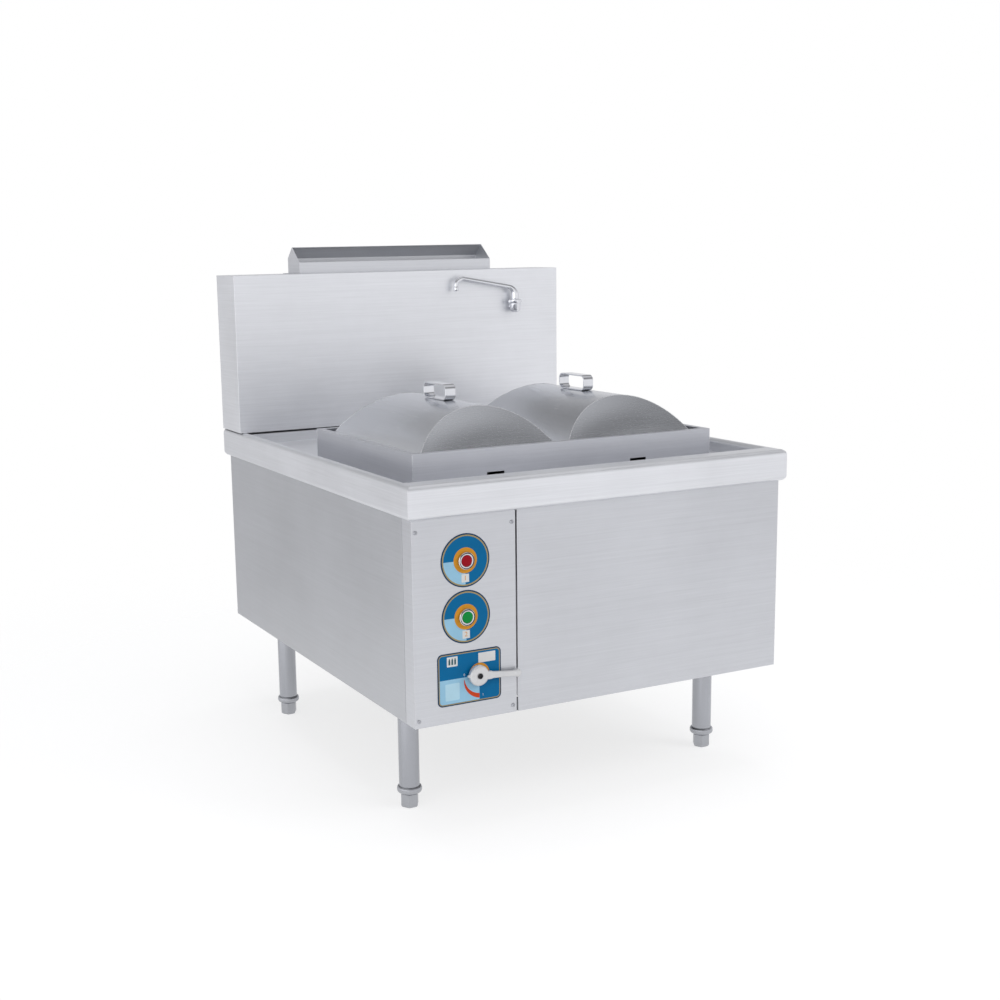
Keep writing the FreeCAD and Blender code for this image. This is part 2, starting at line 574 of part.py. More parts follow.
def make_flue():
    """Flue outlet hood with a slanted open mouth, and the duct that feeds it."""
    pitch = "(hood_peak - hood_shoulder) / (hood_back - hood_peak_back)"
    profile = [
        ("hood_front", "splash_top"), ("hood_back", "splash_top"), ("hood_back", "hood_shoulder"),
        ("hood_peak_back", "hood_peak"), ("hood_front", "hood_lip"),
    ]
    hood = padded("hood_outer", "YZ_Plane", profile, "2 * hood_half", lift="-hood_half")
    drop = "sheet * sqrt(1 + (" + pitch + ") ^ 2)"
    inside = [
        ("hood_front + sheet", "splash_top - 1"), ("hood_back - sheet", "splash_top - 1"),
        ("hood_back - sheet", f"hood_shoulder - {drop} + sheet * {pitch}"),
        ("hood_peak_back - sheet / 2", f"hood_peak - {drop} + sheet * {pitch} / 2"),
        ("hood_peak_back - sheet / 2", "hood_peak + past"), ("hood_front + sheet", "hood_peak + past"),
    ]
    hollow = padded("hood_inner", "YZ_Plane", inside, "2 * (hood_half - sheet)", lift="-(hood_half - sheet)")
    flange = block("hood_flange", ("-hood_half - hood_flange", "hood_front - hood_flange", "splash_top"),
                   ("hood_half + hood_flange", "hood_back + hood_flange", "splash_top + sheet"))
    keep(cut("flue_outlet_cut", fuse("hood_sheet", hood, flange), hollow), "flue_outlet")

    top = "splash_top - sheet"
    shaft = block("duct_outer", ("-duct_half", "duct_front", "throat_low"), ("duct_half", "duct_back", top))
    throat = block("throat_outer", ("-throat_half", "fire_back", "throat_low"),
                   ("throat_half", "duct_back", "throat_high"))
    shaft_bore = block("duct_inner", ("-duct_half + sheet", "duct_front + sheet", "throat_low + sheet"),
                       ("duct_half - sheet", "duct_back - sheet", "splash_top"))
    throat_bore = block("throat_inner", ("-throat_half + sheet", "fire_back - 1", "throat_low + sheet"),
                        ("throat_half - sheet", "duct_back - sheet", "throat_high - sheet"))
    keep(cut("flue_duct_cut", fuse("duct_sheet", shaft, throat), shaft_bore, throat_bore), "flue_duct")


def make_tap():
    """Wall elbow with a hex nipple and a lugged union nut, which hold the swing spout."""
    centre = ("tap_x", "tap_back")
    body = facet_bar("tap_body", (*centre, "tap_low + tap_bevel"), "tap_radius",
                     "tap_shoulder - tap_low - tap_bevel", "turned_sides")
    bottom = facet_bar("tap_bottom", (*centre, "tap_low"), "tap_foot", "tap_bevel", "turned_sides")
    nipple = facet_bar("tap_nipple", ("tap_x", "tap_back", "tap_level"), "nipple_radius",
                       "shelf_front - tap_back", "6", "y")
    bore = facet_bar("tap_bore", (*centre, "tap_shoulder - socket_depth"),
                     "(spout_stub + running) / cos(180 deg / bore_sides)", "socket_depth + 1", "bore_sides")
    keep(cut("faucet_elbow_cut", fuse("tap_casting", body, bottom, nipple), bore), "faucet_elbow")

    ring = facet_bar("nut_ring", (*centre, "tap_shoulder"), "nut_radius", "nut_height", "8")
    lugs = block("nut_lugs", ("tap_x - nut_lug", "tap_back - lug_half", "tap_shoulder + lug_step"),
                 ("tap_x + nut_lug", "tap_back + lug_half", "tap_shoulder + nut_height - lug_step"))
    hole = facet_bar("nut_hole", (*centre, "tap_shoulder - 1"),
                     "(spout_neck + running) / cos(180 deg / pipe_sides)", "nut_height + 2", "pipe_sides")
    keep(cut("faucet_nut_cut", fuse("nut_body", ring, lugs), hole), "faucet_nut")


def tube_section(centre, bend, angle, radius):
    """Outline of the bent tube, square to its run, at one angle of a bend in the upright plane."""
    outward = Vector(math.cos(angle), 0, math.sin(angle))
    across = Vector(0, 1, 0)
    sides = int(size("tube_sides"))
    corners = []
    for index in range(sides + 1):
        turn = 2 * math.pi * index / sides
        corners.append(centre + outward * (bend + radius * math.cos(turn)) + across * (radius * math.sin(turn)))
    return Part.makePolygon(corners)


def make_spout():
    """Swing spout: a neck that tapers through the first bend, a rising arm and a down-turned nozzle."""
    x = size("tap_x")
    y = size("tap_back")
    neck_bend = size("neck_bend")
    tip_bend = size("tip_bend")
    neck_radius = size("spout_neck")
    pipe_radius = size("spout_pipe")
    neck_low = size("tap_shoulder") + size("lift")
    neck_top = size("tap_shoulder") + size("neck_length")
    stub_low = size("tap_shoulder") - size("stub_length")

    level_off = math.pi / 2 - math.radians(size("spout_rise"))
    hub = Vector(x - neck_bend, y, neck_top)
    outward = Vector(math.cos(level_off), 0, math.sin(level_off))
    arm_start = hub + outward * neck_bend
    tip_x = x - size("spout_reach")
    run = (arm_start.x - outward.x * tip_bend - tip_bend - tip_x) / outward.z
    far_hub = arm_start + Vector(-outward.z, 0, outward.x) * run - outward * tip_bend
    steps = int(size("bend_steps"))
    sections = []
    for index in range(steps + 1):
        share = index / steps
        radius = neck_radius + (pipe_radius - neck_radius) * share
        sections.append(tube_section(hub, neck_bend, level_off * share, radius))
    for index in range(steps + 1):
        angle = level_off + (math.pi - level_off) * index / steps
        sections.append(tube_section(far_hub, tip_bend, angle, pipe_radius))

    tube = Part.makeLoft(sections, True, True)
    neck = Part.makeCylinder(neck_radius, neck_top - neck_low, Vector(x, y, neck_low))
    stub = Part.makeCylinder(size("spout_stub"), neck_low - stub_low, Vector(x, y, stub_low))
    nozzle = Part.makeCylinder(size("nozzle_radius"), far_hub.z - size("nozzle_low"),
                               Vector(tip_x, y, size("nozzle_low")))
    feature = document.addObject("Part::Feature", "spout_form")
    feature.Shape = tube.fuse([neck, stub, nozzle])
    back = (size("lever_front") + size("pipe_end")) / 2
    feature.Placement = Placement(Vector(0, -back, 0), Rotation())
    keep(feature, "faucet_spout")


def supply_pipe(name, x, start, level, kind, stand):
    """Straight pipe whose round threaded end stands out of the back and is open."""
    wall = f"(pipe_end - {stand})"
    run = facet_bar(name + "_run", (x, start, level), f"{kind}_run", f"{wall} - ({start})", "pipe_sides", "y")
    end = rod(name + "_end", (x, wall, level), f"{kind}_end", stand, "y")
    bore = facet_bar(name + "_bore", (x, f"{wall} + bore_rest", level), f"{kind}_bore", stand, "pipe_sides", "y")
    return cut(name + "_cut", fuse(name + "_steps", run, end), bore)


def make_pipes():
    """Water supply to the elbow, gas supply to the valve and gas feed from the valve to the air duct."""
    keep(supply_pipe("water_supply", "tap_x", "shelf_front", "tap_level", "water", "water_stand"),
         "water_supply_pipe")
    keep(supply_pipe("gas_supply", "valve_x", "valve_back", "valve_level", "gas", "gas_stand"),
         "gas_supply_pipe")
    outlet = "valve_x + valve_half + outlet_reach"
    across = facet_bar("feed_across", (outlet, "outlet_back", "valve_level"), "feed_radius",
                       f"feed_x - ({outlet})", "bore_sides", "x")
    along = facet_bar("feed_along", ("feed_x", "outlet_back", "valve_level"), "feed_radius",
                      "fan_front + air_inset - outlet_back", "bore_sides", "y")
    elbow = block("feed_elbow", ("feed_x - elbow_half", "outlet_back - elbow_half", "valve_level - elbow_half"),
                  ("feed_x + elbow_half", "outlet_back + elbow_half", "valve_level + elbow_half"))
    keep(fuse("gas_feed_fuse", across, along, elbow), "gas_feed_pipe")


def make_button(name, level):
    """Push button: bezel and contact block through the panel, a cap that slides in it, and its label disc."""
    face = "inset - label_sheet"
    front = f"{face} - bezel_rise"

    def square(part, start, end, reach):
        return block(f"{name}_{part}", (f"dial_x - ({reach})", start, f"{level} - ({reach})"),
                     (f"dial_x + {reach}", end, f"{level} + {reach}"))

    flange = facet_bar(f"{name}_flange", ("dial_x", front, level), "bezel_radius", "bezel_rise",
                       "turned_sides", "y")
    barrel = square("barrel", face, "inset + sheet", "barrel_half")
    contacts = square("contacts", "inset + sheet", "switch_back", "switch_half")
    cup = facet_bar(f"{name}_cup", ("dial_x", f"{front} - 1", level), "cup_radius", "cup_depth + 1",
                    "turned_sides", "y")
    well = square("well", front, "well_end", "plunger_half + running")
    keep(cut(f"{name}_bezel_cut", fuse(f"{name}_housing", flange, barrel, contacts), cup, well),
         f"{name}_bezel")

    cap = facet_bar(f"{name}_disc", ("dial_x", "cap_front", level), "cap_radius", "cap_thick",
                    "turned_sides", "y")
    plunger = square("plunger", "cap_front + cap_thick", "plunger_end", "plunger_half")
    keep(fuse(f"{name}_cap_fuse", cap, plunger), f"{name}_button")

    disc = facet_bar(f"{name}_disc_label", ("dial_x", face, level), "dial_radius", "label_sheet",
                     "disc_sides", "y")
    hole = square("disc_hole", f"{face} - 1", "inset + 1", "barrel_half + barrel_play")
    keep(cut(f"{name}_label_cut", disc, hole), f"{name}_label")


def make_lever():
    """Cast lever: round hub, tapering handle with a rounded end, and a short pointer."""
    hub = facet_bar("lever_hub", ("0", "hub_front", "0"), "hub_radius", "hub_back - hub_front",
                    "turned_sides", "y", local=True)
    reach = "lever_length - knob_radius"
    handle = padded("lever_bar", "XZ_Plane",
                    [("web_start", "-lever_root"), (reach, "-lever_tip"), (reach, "lever_tip"),
                     ("web_start", "lever_root")],
                    "lever_thick", lift="-(hub_front + lever_step + lever_thick)", local=True)
    end = rod("lever_end", (reach, "hub_front + 1", "0"), "knob_radius", "knob_thick", "y", local=True)
    tip = padded("lever_pointer", "XZ_Plane",
                 [("-web_start", "-pointer_root"), ("-web_start", "pointer_root"), ("-pointer", "pointer_tip"),
                  ("-pointer", "-pointer_tip")],
                 "pointer_thick", lift="-(hub_front + lever_step + lever_thick)", local=True)
    lever = fuse("lever_casting", hub, handle, end, tip)
    lever.Placement = Placement(Vector(), Rotation(Vector(0, 1, 0), size("lever_droop")))
    put(lever, "valve_x", "0", "valve_level")
    keep(lever, "valve_lever")
    keep(facet_bar("lever_screw_head", ("valve_x", "lever_front", "valve_level"), "stem_radius",
                   "hub_front - lever_front", "stud_sides", "y"), "lever_screw")
    keep(rod("valve_stem_bar", ("valve_x", "hub_back", "valve_level"), "stem_radius", "stem_end - hub_back", "y"),
         "valve_stem")


def make_controls():
    """Two push buttons and the lever gas valve on its label plate."""
    make_button("power", "power_level")
    make_button("ignition", "ignition_level")

    plate = padded("valve_plate", "XZ_Plane", rectangle("plate_left", "plate_low", "plate_right", "plate_high"),
                   "label_sheet", lift="-inset")
    sides = [size("plate_left"), size("plate_right")]
    roll(plate, "plate_round", lambda point: min(abs(point.x - side) for side in sides) < 0.1
         and (near(point.z, "plate_low") or near(point.z, "plate_high")))
    hole = block("valve_plate_hole", ("valve_x - stem_hole", "inset - label_sheet - 1", "valve_level - stem_hole"),
                 ("valve_x + stem_hole", "inset + 1", "valve_level + stem_hole"))
    keep(cut("valve_label_cut", plate, hole), "valve_label")
    make_lever()

    seat = "inset + sheet"
    casting = block("valve_casting", ("valve_x - valve_half", seat, "valve_level - valve_half"),
                    ("valve_x + valve_half", "valve_back", "valve_level + valve_half"))
    flange = block("valve_flange", ("valve_x - seat_reach", seat, "valve_level - seat_rise"),
                   ("valve_x + seat_reach", f"{seat} + seat_thick", "valve_level + seat_rise"))
    outlet = facet_bar("valve_outlet", ("valve_x", "outlet_back", "valve_level"), "outlet_radius",
                       "valve_half + outlet_reach", "6", "x")
    stem_bore = facet_bar("valve_stem_bore", ("valve_x", "inset", "valve_level"),
                          "(stem_radius + running) / cos(180 deg / bore_sides)", "stem_end - inset + 1",
                          "bore_sides", "y")
    keep(cut("valve_body_cut", fuse("valve_forging", casting, flange, outlet), stem_bore), "valve_body")


def make_fire():
    """Combustion chamber under the pan with its slotted burner."""
    outer = block("fire_outer", ("-fire_half", "fire_front", "rail_top"), ("fire_half", "fire_back", "pan_floor"))
    inner = block("fire_inner", ("-fire_half + fire_wall", "fire_front + fire_wall", "rail_top + fire_wall"),
                  ("fire_half - fire_wall", "fire_back - fire_wall", "pan_floor + 1"))
    flue = block("fire_flue_hole", ("-throat_half + sheet", "fire_back - fire_wall - 1", "throat_low + sheet"),
                 ("throat_half - sheet", "fire_back + 1", "throat_high - sheet"))
    middle = "(fan_front + fan_back) / 2"
    level = "(air_low + air_high) / 2"
    tube_low = (f"{middle} - throat_side", f"{level} - throat_side")
    tube_high = (f"{middle} + throat_side", f"{level} + throat_side")
    inlet = block("fire_inlet", ("fire_half - fire_wall - 1", *tube_low), ("fire_half + 1", *tube_high))
    keep(cut("combustion_chamber_cut", outer, inner, flue, inlet), "combustion_chamber")

    head = block("burner_box", ("-burner_half", f"{middle} - burner_depth", "burner_low"),
                 ("burner_half", f"{middle} + burner_depth", "burner_high"))
    tube = block("burner_tube", ("burner_half", *tube_low), ("fire_half", *tube_high))
    ports = []
    for index in range(int(size("port_count"))):
        x = f"-burner_half + 2 * burner_half * ({index} + 0.5) / port_count"
        ports.append(block(f"burner_port_{index}",
                           (f"{x} - port_width / 2", f"{middle} - burner_depth + port_edge",
                            "burner_high - port_depth"),
                           (f"{x} + port_width / 2", f"{middle} + burner_depth - port_edge", "burner_high + 1")))
    keep(cut("burner_head_cut", fuse("burner_casting", head, tube), *ports), "burner_head")


def make_blower():
    """Scroll blower with its motor, the wheel on the motor's shaft and the air duct to the chamber."""
    front = "fan_front + air_inset"
    back = "fan_back - air_inset"
    scroll = facet_bar("scroll", ("fan_x", "fan_front", "fan_level"), "fan_radius", "fan_back - fan_front",
                       "fan_sides", "y")
    outlet = block("scroll_outlet", ("air_left", front, "air_low"), ("fan_x", back, "air_high"))
    foot = block("scroll_foot", ("fan_x - scroll_foot", "rail_middle", "rail_top"),
                 ("fan_x + scroll_foot", "rail_middle + rail_width", "rail_top + scroll_step"))
    hollow = facet_bar("scroll_hollow", ("fan_x", "fan_front + fan_sheet", "fan_level"), "fan_radius - fan_sheet",
                       "fan_back - fan_front - 2 * fan_sheet", "fan_sides", "y")
    throat = block("scroll_throat", ("air_left - 1", f"{front} + fan_sheet", "air_low + fan_sheet"),
                   ("fan_x", f"{back} - fan_sheet", "air_high - fan_sheet"))
    eye = block("scroll_eye", ("fan_x - eye_half", "fan_back - fan_sheet - 1", "fan_level - eye_half"),
                ("fan_x + eye_half", "fan_back + 1", "fan_level + eye_half"))
    shaft_hole = block("scroll_shaft_hole", ("fan_x - stem_hole", "fan_front - 1", "fan_level - stem_hole"),
                       ("fan_x + stem_hole", "fan_front + fan_sheet + 1", "fan_level + stem_hole"))
    keep(cut("blower_housing_cut", fuse("scroll_sheet", scroll, outlet, foot), hollow, throat, eye, shaft_hole),
         "blower_housing")
    duct = block("air_outer", ("fire_half", front, "air_low"), ("air_left", back, "air_high"))
    bore = block("air_inner", ("fire_half - 1", f"{front} + fan_sheet", "air_low + fan_sheet"),
                 ("air_left + 1", f"{back} - fan_sheet", "air_high - fan_sheet"))
    keep(cut("air_duct_cut", duct, bore), "air_duct")

    can = facet_bar("motor_can", ("fan_x", "motor_front", "fan_level"), "motor_radius",
                    "fan_front - motor_front", "fan_sides", "y")
    bearing = facet_bar("motor_bore", ("fan_x", "motor_front + motor_wall", "fan_level"),
                        "(shaft_radius + running) / cos(180 deg / bore_sides)", "fan_front - motor_front",
                        "bore_sides", "y")
    keep(cut("blower_motor_cut", can, bearing), "blower_motor")
    make_wheel()


def make_wheel():
    """Paddle wheel: shaft, hub, back disc and straight blades."""
    disc_back = "fan_front + wheel_gap"
    shaft = rod("wheel_shaft", ("fan_x", "motor_front + motor_wall + 1", "fan_level"), "shaft_radius",
                "fan_back - motor_front - motor_wall - wheel_gap - 1", "y")
    hub = facet_bar("wheel_hub", ("fan_x", disc_back, "fan_level"), "hub_ring",
                    "fan_back - fan_front - 2 * wheel_gap", "fan_sides", "y")
    disc = facet_bar("wheel_disc", ("fan_x", disc_back, "fan_level"), "wheel_radius", "blade_sheet",
                     "fan_sides", "y")
    parts = [shaft, hub, disc]
    step = 360 / size("blades")
    for index in range(int(size("blades"))):
        turn = index * step
        blade = document.addObject("Part::Box", f"blade_{index}")
        drive(blade, "Length", "wheel_radius - hub_ring")
        drive(blade, "Width", "fan_back - fan_front - 2 * wheel_gap")
        drive(blade, "Height", "blade_sheet")
        blade.Placement = Placement(Vector(), Rotation(Vector(0, 1, 0), turn))
        put(blade, f"fan_x + (hub_ring - 1) * cos({turn} deg)", disc_back,
            f"fan_level - (hub_ring - 1) * sin({turn} deg)")
        parts.append(blade)
    keep(fuse("blower_wheel_fuse", *parts), "blower_wheel")


def make_electrics():
    """Electrical box on the left panel and the cable gland in the rear panel."""
    left = "-(half_width - inset - sheet)"
    keep(block("electrical_case", (left, "case_front", "case_low"),
               (f"{left} + case_thick", "case_back", "case_high")), "electrical_box")
    thread = facet_bar("gland_thread_bar", ("gland_x", "body_back - gland_reach", "gland_level"), "gland_thread",
                       "gland_reach", "pipe_sides", "y")
    flange = facet_bar("gland_hexagon", ("gland_x", "body_back", "gland_level"), "gland_flange", "gland_step",
                       "6", "y")
    dome = facet_bar("gland_dome_nut", ("gland_x", "body_back + gland_step", "gland_level"), "gland_dome",
                     "gland_rise", "6", "y")
    keep(fuse("cable_gland_fuse", thread, flange, dome), "cable_gland")


def make_legs():
    """Tube legs with end rings, and hex feet whose studs screw into the rings."""
    places = {
        "front_left": ("-leg_x", "leg_front"), "front_right": ("leg_x", "leg_front"),
        "rear_left": ("-leg_x", "leg_rear"), "rear_right": ("leg_x", "leg_rear"),
    }
    rings = []
    for name, (x, y) in places.items():
        top = "body_bottom + 2 + angle_sheet"
        tube = rod(f"tube_{name}", (x, y, "ring_top"), "leg_radius", f"{top} - ring_top")
        bore = facet_bar(f"tube_bore_{name}", (x, y, "ring_top - 1"), "leg_bore", f"{top} - ring_top + 2",
                         "bore_sides")
        keep(cut(f"leg_{name}_cut", tube, bore), f"leg_{name}")
        band = rod(f"band_{name}", (x, y, "ring_low"), "ring_radius", "ring_top - ring_low")
        thread = facet_bar(f"thread_{name}", (x, y, "ring_low - 1"), "stud_bore", "ring_top - ring_low + 2",
                           "stud_sides")
        rings.append(cut(f"ring_{name}", band, thread))
        stud = facet_bar(f"stud_{name}", (x, y, "ring_low"), "stud_radius", "stud_top - ring_low", "stud_sides")
        keep(fuse(f"foot_{name}_fuse", hexagon_foot(name, x, y), stud), f"foot_{name}")
    keep(fuse("end_rings", *rings), "leg_end_rings")


def hexagon_foot(name, x, y):
    """Hex foot with its bottom edges bevelled."""
    corners = [(f"foot_flats / sqrt(3) * cos({60 * k} deg)", f"foot_flats / sqrt(3) * sin({60 * k} deg)")
               for k in range(6)]
    body = padded(f"hex_{name}", "XY_Plane", corners, "ring_low", place=(x, y, "0"))
    return bevel(body, "foot_bevel", lambda point: abs(point.z) < 0.1)


make_worktop()
make_frame()
make_panels()
make_steam_box()
make_deck()
for side, middle in (("left", "-lid_middle"), ("right", "lid_middle")):
    make_tray(side, middle)
    make_lid(side, middle)
make_pan()
make_splashback()
make_flue()
make_tap()
make_spout()
make_pipes()
make_controls()
make_fire()
make_blower()
make_electrics()
make_legs()
document.recompute()

for item in document.Objects:
    if "Invalid" in item.State or "Error" in item.State:
        raise RuntimeError(f"{item.Name} did not build: {item.State}")
os.makedirs("parts", exist_ok=True)
for item in pieces:
    if item.Shape.isNull() or not item.Shape.isValid():
        raise RuntimeError(f"{item.Label} has no valid shape")
    item.Shape.exportStep(os.path.join("parts", item.Label + ".step"))
print(len(pieces), "sub-parts written")
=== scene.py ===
import json
import math

import bmesh
import bpy
from mathutils import Matrix, Vector

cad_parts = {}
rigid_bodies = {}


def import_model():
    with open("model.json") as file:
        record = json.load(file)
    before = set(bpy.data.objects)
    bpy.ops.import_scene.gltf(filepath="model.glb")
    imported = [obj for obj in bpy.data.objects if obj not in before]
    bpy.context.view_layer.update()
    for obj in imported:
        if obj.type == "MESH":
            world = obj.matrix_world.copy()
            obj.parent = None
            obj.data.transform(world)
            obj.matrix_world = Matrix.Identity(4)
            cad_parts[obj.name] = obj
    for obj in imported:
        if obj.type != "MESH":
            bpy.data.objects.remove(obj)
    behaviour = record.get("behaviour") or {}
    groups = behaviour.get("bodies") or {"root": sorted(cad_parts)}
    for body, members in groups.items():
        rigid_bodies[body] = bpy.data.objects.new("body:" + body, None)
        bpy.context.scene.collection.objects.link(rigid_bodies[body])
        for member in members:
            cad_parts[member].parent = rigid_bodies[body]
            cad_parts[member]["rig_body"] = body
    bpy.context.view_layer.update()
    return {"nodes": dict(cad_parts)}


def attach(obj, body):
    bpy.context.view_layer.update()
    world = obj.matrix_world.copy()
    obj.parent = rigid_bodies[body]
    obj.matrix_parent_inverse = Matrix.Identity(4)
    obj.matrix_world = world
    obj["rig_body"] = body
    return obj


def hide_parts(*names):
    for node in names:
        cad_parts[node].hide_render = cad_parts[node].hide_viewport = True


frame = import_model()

# Base frame and upper frame: angle iron welded into rings with posts and cross rails, primed grey.
# They carry every other piece and hardly show once the panels are on.
PRIMER_GREY = (0.16, 0.165, 0.175, 1.0)
SPECKLE_SCALE, RELIEF_DEPTH = 900.0, 0.001
COLUMN_WIDTH, ROW_HEIGHT = 220, 260


def fill(node, values):
    """Set free inputs of a node, by name or by place."""
    for key, value in values.items():
        node.inputs[key].default_value = value


def add_node(tree, kind, values=None, **ways):
    """New node with its ways of working and the values of its free inputs."""
    node = tree.nodes.new(kind)
    for key, value in ways.items():
        setattr(node, key, value)
    fill(node, values or {})
    return node


def maths(tree, operation, values=None):
    return add_node(tree, "ShaderNodeMath", values, operation=operation)


def wire(tree, *links):
    """Join nodes, each link from a node's output to a node's input, and spread the nodes in columns."""
    for source, output, target, entry in links:
        tree.links.new(source.outputs[output], target.inputs[entry])
    column = {node.name: 0 for node in tree.nodes}
    for _ in column:
        for link in tree.links:
            step = column[link.from_node.name] + 1
            column[link.to_node.name] = max(step, column[link.to_node.name])
    filled = [0] * (len(column) + 1)
    for node in tree.nodes:
        place = column[node.name]
        node.location = (COLUMN_WIDTH * place, -ROW_HEIGHT * filled[place])
        filled[place] += 1


def shader_group(name, inputs, outputs):
    """Node group with named sockets; returns it with its first, last and place nodes."""
    group = bpy.data.node_groups.new(name, "ShaderNodeTree")
    for way, sockets in (("INPUT", inputs), ("OUTPUT", outputs)):
        for label, kind in sockets.items():
            group.interface.new_socket(label, in_out=way, socket_type=f"NodeSocket{kind}")
    kinds = ("NodeGroupInput", "NodeGroupOutput", "ShaderNodeTexCoord")
    return group, *(add_node(group, kind) for kind in kinds)


def wear_group():
    """Smudges and small tone changes that every finish shares."""
    group, start, end, place = shader_group("surface_wear", {
        "Patch Size": "Float", "Low Roughness": "Float", "High Roughness": "Float", "Dark Colour": "Color",
        "Light Colour": "Color",
    }, {"Colour": "Color", "Roughness": "Float", "Height": "Float"})
    patches = add_node(group, "ShaderNodeTexNoise", {"Detail": 5.0, "Roughness": 0.6})
    speckle = add_node(group, "ShaderNodeTexNoise", {"Scale": SPECKLE_SCALE})
    tone = add_node(group, "ShaderNodeMapRange", {"From Min": 0.35, "From Max": 0.68})
    mix = add_node(group, "ShaderNodeMix", data_type="RGBA")
    rough = add_node(group, "ShaderNodeMapRange", {"From Min": 0.3, "From Max": 0.7})
    wire(group, (place, "Object", patches, "Vector"), (place, "Object", speckle, "Vector"),
         (start, "Patch Size", patches, "Scale"), (patches, "Fac", tone, "Value"), (tone, "Result", mix, 0),
         (start, "Dark Colour", mix, 6), (start, "Light Colour", mix, 7), (patches, "Fac", rough, "Value"),
         (start, "Low Roughness", rough, "To Min"), (start, "High Roughness", rough, "To Max"),
         (mix, 2, end, "Colour"), (rough, "Result", end, "Roughness"), (speckle, "Fac", end, "Height"))
    return group


surface_wear = wear_group()


def tint(colour, factor):
    """Colour made lighter or darker by a factor."""
    return (*(min(1.0, part * factor) for part in colour[:3]), 1.0)


def finish_material(name, colour, metallic, low, high, patch=3.0, spread=0.06, bump=0.02, coat=0.0,
                    gleam=0.5):
    """Plain finish: one colour with soft patches, fine speckle in the bump and a roughness that wanders."""
    material = bpy.data.materials.new(name)
    material.use_nodes = True
    tree = material.node_tree
    shader = tree.nodes["Principled BSDF"]
    fill(shader, {"Metallic": metallic, "Coat Weight": coat, "Specular IOR Level": gleam})
    wear = add_node(tree, "ShaderNodeGroup", {
        "Patch Size": patch, "Low Roughness": low, "High Roughness": high,
        "Dark Colour": tint(colour, 1 - spread), "Light Colour": tint(colour, 1 + spread),
    }, node_tree=surface_wear)
    relief = add_node(tree, "ShaderNodeBump", {"Strength": bump, "Distance": RELIEF_DEPTH})
    wire(tree, (wear, "Colour", shader, "Base Color"), (wear, "Roughness", shader, "Roughness"),
         (wear, "Height", relief, "Height"), (relief, "Normal", shader, "Normal"))
    return material


def dress(material, *nodes):
    """Give CAD nodes their finish."""
    for name in nodes:
        mesh = frame["nodes"][name].data
        mesh.materials.clear()
        mesh.materials.append(material)


primer = finish_material("primer_grey", PRIMER_GREY, 0.0, 0.5, 0.7, patch=12.0, spread=0.12, bump=0.2)
dress(primer, "base_frame", "upper_frame")

# Legs: drawn stainless tube, welded to a plate of the base frame and closed by a turned end ring.
# Each hex foot is turned from bar, and its threaded stud screws up into the ring.
TUBE_COLOUR = (0.40, 0.41, 0.44, 1.0)
TURNED_COLOUR = (0.46, 0.47, 0.50, 1.0)
LEG_PLACES = {
    "front_left": (-415, 203), "front_right": (415, 203), "rear_left": (-415, 983), "rear_right": (415, 983),
}
LEG_RADIUS, LEG_BORE, LEG_TOP = 24, 22.3, 259
RING_RADIUS, RING_BORE, RING_LOW, RING_HIGH, RING_EASE = 29, 8.6, 36, 53, 6.5
STUD_ROOT, STUD_TOP, STUD_PLAIN, THREAD_PITCH, THREAD_HALF = 7.3, 108, 4, 1.5, 0.5
FOOT_FLATS, FOOT_BEVEL, FOOT_SHOULDER = 38, 6, 3
APRON_BACK = 603.5
FINE, LONG, BROAD_SHARE, GLOSS_GRAIN = 700.0, 9.0, 0.22, 0.10


def at(x, y, z):
    """Place in the row frame, from millimetres off the middle, behind the apron's face and over the floor."""
    return Vector((x, y - APRON_BACK, z)) / 1000


def grain_group():
    """Fine parallel scratches left by a belt; stretched noise in two widths."""
    group, start, end, place = shader_group(
        "belt_grain", {"Stretch": "Vector"}, {"Tone": "Float", "Height": "Float"})
    stretched = add_node(group, "ShaderNodeVectorMath", operation="MULTIPLY")
    fine = add_node(group, "ShaderNodeTexNoise", {"Scale": 1.0, "Detail": 4.0})
    broad = add_node(group, "ShaderNodeTexNoise", {"Scale": BROAD_SHARE, "Detail": 3.0})
    blend = add_node(group, "ShaderNodeMix", {0: 0.45}, data_type="FLOAT")
    span = add_node(group, "ShaderNodeMapRange", {"From Min": 0.25, "From Max": 0.75})
    wire(group, (place, "Object", stretched, 0), (start, "Stretch", stretched, 1),
         (stretched, "Vector", fine, "Vector"), (stretched, "Vector", broad, "Vector"),
         (fine, "Fac", blend, 2), (broad, "Fac", blend, 3), (blend, 0, span, "Value"),
         (span, "Result", end, "Tone"), (blend, 0, end, "Height"))
    return group


belt_grain = grain_group()


def steel(name, colour, stretch, low=0.26, high=0.38, spread=0.05, grain=0.07, bump=0.12, metallic=0.72,
          patch=2.5):
    """Brushed stainless: wandering tone, parallel grain along one direction and a grain-broken gloss."""
    material = finish_material(name, colour, metallic, low, high, patch=patch, spread=spread)
    tree = material.node_tree
    shader = tree.nodes["Principled BSDF"]
    wear = next(node for node in tree.nodes if node.type == "GROUP")
    relief = next(node for node in tree.nodes if node.type == "BUMP")
    fill(relief, {"Strength": bump})
    lines = add_node(tree, "ShaderNodeGroup", {"Stretch": stretch}, node_tree=belt_grain)
    shade = add_node(tree, "ShaderNodeMapRange", {"To Min": 1.0 - grain, "To Max": 1.0 + grain})
    colouring = add_node(tree, "ShaderNodeVectorMath", operation="SCALE")
    gloss = maths(tree, "MULTIPLY_ADD", {1: GLOSS_GRAIN})
    wire(tree, (lines, "Tone", shade, "Value"), (wear, "Colour", colouring, 0),
         (shade, "Result", colouring, "Scale"), (colouring, "Vector", shader, "Base Color"),
         (lines, "Tone", gloss, 0), (wear, "Roughness", gloss, 2), (gloss, "Value", shader, "Roughness"),
         (lines, "Height", relief, "Height"))
    return material


